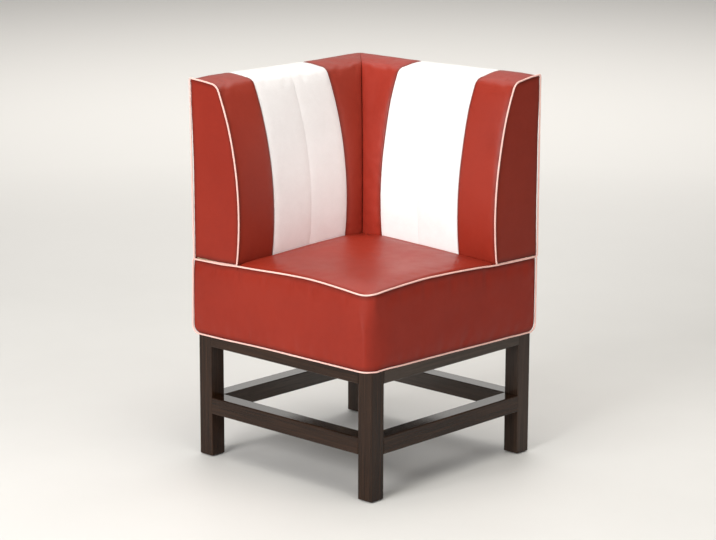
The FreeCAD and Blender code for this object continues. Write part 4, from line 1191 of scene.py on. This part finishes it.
for side in ("left", "rear"):
    h = 1.5 - edge_fall(dist, 2.3, 3.2, 1.5, 26)
    y = -BACK - h
    p3 = np.stack([patch[..., 0], y, patch[..., 1]], -1)
    y = y + (wander(p3, 80, 61 + len(side) + (side == "rear")) * 0.18) * np.clip(dist / 10, 0, 1)
    outer = np.stack([patch[..., 0], y, patch[..., 1]], -1)
    pull = np.array([-215.0, 700.0])
    scale = np.array([1 - 6.0 / 72, 1 - 6.0 / 215])
    inn = pull + (patch - pull) * scale
    inner = np.stack([inn[..., 0], 0 * y - BACK + 5.9, inn[..., 1]], -1)
    layers = [settled(outer, side), settled(inner, side)]
    if side == "rear":
        layers = [mirrored(q) for q in layers]
    ob = mesh_object("%s_back_end_cushion" % side, *solid_parts(layers))
    shade_seams(ob, layers[0], "aAbB")
    finish_piece(ob, RED_SIDE if side == "left" else RED_END, ["%s_back_end_cover" % side])

# rear covers, stretched over the ribs
ry = lines(-BACK + 0.3, BACK - 0.4, 8.0)
rz = lines(UNDER + 0.4, TOP_REAR - 3.3, 8.0)
gy, gz = np.meshgrid(ry, rz, indexing="ij")
for side in ("left", "rear"):
    z = gz + rise(gy) * smooth((gz - 700) / 200)
    d = np.minimum(np.minimum(gy - ry[0], ry[-1] - gy), np.minimum(gz - rz[0], rz[-1] - gz))
    ribs = (-270.3, -45.0, 155.0, 276.0)
    sag = np.zeros_like(gy)
    for a, b in zip(ribs[:-1], ribs[1:]):
        t = np.clip((gy - a) / (b - a), 0, 1)
        sag += np.sin(np.pi * t) ** 2 * ((gy >= a) & (gy < b)) * 1.1
    sag *= np.sin(np.pi * np.clip((gz - 521) / (866 - 521), 0, 1)) ** 0.8
    h = -edge_fall(d, 1.4, 2.6, 0.0, 10) - sag
    p3 = np.stack([-BACK + 0 * h, gy, z], -1)
    h = h + wander(p3, 60, 77) * 0.1 * np.clip(d / 12, 0, 1)
    outer = np.stack([-BACK - h, gy, z], -1)
    inner = np.stack([-BACK - h + 0.95 + np.clip(1.4 - d, 0, 1.4) * 0, gy, z], -1)
    layers = [settled(outer, side), settled(inner, side)]
    if side == "rear":
        layers = [mirrored(q) for q in layers]
    ob = mesh_object("%s_back_rear_sheet" % side, *solid_parts(layers))
    shade_seams(ob, layers[0], "aAbB")
    finish_piece(ob, RED_SIDE, ["%s_back_rear_cover" % side])

# piping round the end faces; its foot lies behind the seat's piping
po = 1.4
foot_z = 484.9
front_pts, front_n = section_at(np.linspace(0, S_END, 700))
ring = front_pts + front_n * po
ring = ring[ring[:, 1] > 500]
hook_x = BOW_X + math.sqrt((BOW_R + po) ** 2 - (foot_z - BOW_Z) ** 2)
full = rounded_path([np.array([ring[-1][0], -BACK - po, ring[-1][1]]),
                     np.array([hook_x, -BACK - po, foot_z]),
                     np.array([-BACK - po, -BACK - po, foot_z]),
                     np.array([-BACK - po, -BACK - po, TOP_REAR + po]),
                     np.array([ring[8][0], -BACK - po, ring[8][1]])], (0, 10.0, 5.0, 4.0, 0), False)
line3 = np.stack([ring[:, 0], 0 * ring[:, 0] - BACK - po, ring[:, 1]], -1)
loop = np.concatenate([line3[8:], full[1:-1]])
low = smooth((500 - loop[:, 2]) / 12)
loop[:, 1] += low * 4.2 * smooth((-142 - loop[:, 0]) / 8) * smooth((loop[:, 0] + BACK + po - 3) / 12)
for side in ("left", "rear"):
    pts = settled(loop, side)
    pts[:, 2] -= (5.0 if side == "left" else 2.5) * low * smooth((-165 - pts[:, 0]) / 45)
    pts = pts if side == "left" else mirrored(pts)
    ob = tube_object("%s_back_piping_loop" % side, pts, PIPE_R, True, seed=31 if side == "left" else 37)
    finish_piece(ob, PIPE, ["%s_back_piping" % side])

# ---------------------------------------------------------------- floor, light, camera
def floor_material():
    m, nt, b = new_material("studio_floor")
    v = nt.nodes.new("ShaderNodeTexCoord").outputs["Object"]
    near = mix(nt, map_range(nt, noise(nt, v, 1.4, 4, 0.6), 0.3, 0.7, 0, 1), (0.70, 0.685, 0.66), (0.73, 0.715, 0.69))
    length = nt.nodes.new("ShaderNodeVectorMath")
    length.operation = "LENGTH"
    nt.links.new(v, length.inputs[0])
    away = map_range(nt, length.outputs["Value"], 1.2, 4.0, 0.0, 1.0)
    nt.links.new(mix(nt, away, near, (0.90, 0.88, 0.85)), b.inputs["Base Color"])
    b.inputs["Roughness"].default_value = 0.55
    return m


me = bpy.data.meshes.new("floor")
n = 24
edge = np.linspace(-14, 14, n + 1)
gx, gy = np.meshgrid(edge, edge, indexing="ij")
verts = np.stack([gx, gy, 0 * gx], -1).reshape(-1, 3)
ids = np.arange((n + 1) ** 2).reshape(n + 1, n + 1)
quads = np.stack([ids[:-1, :-1], ids[1:, :-1], ids[1:, 1:], ids[:-1, 1:]], -1).reshape(-1, 4)
me.from_pydata(verts.tolist(), [], quads.tolist())
floor = bpy.data.objects.new("floor", me)
floor.data.materials.append(floor_material())
bpy.context.scene.collection.objects.link(floor)
floor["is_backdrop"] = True


def area_light(name, where, at, size, watts, colour):
    data = bpy.data.lights.new(name, "AREA")
    data.shape = "RECTANGLE"
    data.size, data.size_y = size
    data.energy = watts
    data.color = colour
    ob = bpy.data.objects.new(name, data)
    ob.location = where
    ob.rotation_mode = "QUATERNION"
    ob.rotation_quaternion = (Vector(at) - Vector(where)).to_track_quat("-Z", "Y")
    bpy.context.scene.collection.objects.link(ob)
    return ob


area_light("key", (0.25, -4.4, 2.0), (0, 0, 0.55), (2.4, 2.0), 202, (1.0, 1.0, 1.0))
area_light("side", (4.6, -1.2, 1.6), (0, 0, 0.55), (3.0, 2.4), 47, (1.0, 1.0, 1.0))
area_light("top", (0.5, -0.2, 3.6), (0, 0, 0.3), (3.0, 3.0), 98, (1.0, 0.985, 0.93))
area_light("top_rear", (-1.2, 1.2, 3.4), (0, 0, 0.5), (3.0, 2.0), 35, (1.0, 1.0, 1.0))
area_light("backdrop", (-4.2, 4.6, 3.8), (-5.5, 6.0, 0), (7.0, 6.0), 230, (1.0, 0.98, 0.95))


def studio_world():
    """A dim even surround with a glow low down behind the seat's corner, as a lit wall makes it."""
    w = bpy.data.worlds.new("studio")
    w.use_nodes = True
    nt = w.node_tree
    bg = nt.nodes["Background"]
    d = nt.nodes.new("ShaderNodeTexCoord").outputs["Generated"]

    def glow(axis, start, full):
        dot = nt.nodes.new("ShaderNodeVectorMath")
        dot.operation = "DOT_PRODUCT"
        nt.links.new(d, dot.inputs[0])
        dot.inputs[1].default_value = Vector(axis).normalized()
        return map_range(nt, dot.outputs["Value"], start, full, 0.0, 1.0)

    low = mix(nt, glow((-0.650, 0.701, 0.292), 0.955, 0.99), (0.158, 0.156, 0.152), (0.66, 0.645, 0.62))
    nt.links.new(low, bg.inputs["Color"])
    bg.inputs["Strength"].default_value = 1.0
    return w


bpy.context.scene.world = studio_world()

cam_data = bpy.data.cameras.new("camera")
cam_data.sensor_fit = "HORIZONTAL"
cam_data.sensor_width = 36.0
cam_data.lens = 120.69
cam_data.clip_end = 60.0
cam = bpy.data.objects.new("camera", cam_data)
cam.location = (3.7754, -4.0790, 1.7151)
cam.rotation_mode = "QUATERNION"
cam.rotation_quaternion = ((Vector((-0.0125, -0.0116, 0.4512)) - cam.location).to_track_quat("-Z", "Y")
                           @ Quaternion((0, 0, 1), 0.003))
bpy.context.scene.collection.objects.link(cam)
bpy.context.scene.camera = cam

bpy.context.scene.view_settings.view_transform = "Standard"
bpy.context.scene.view_settings.look = "None"

low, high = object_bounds()
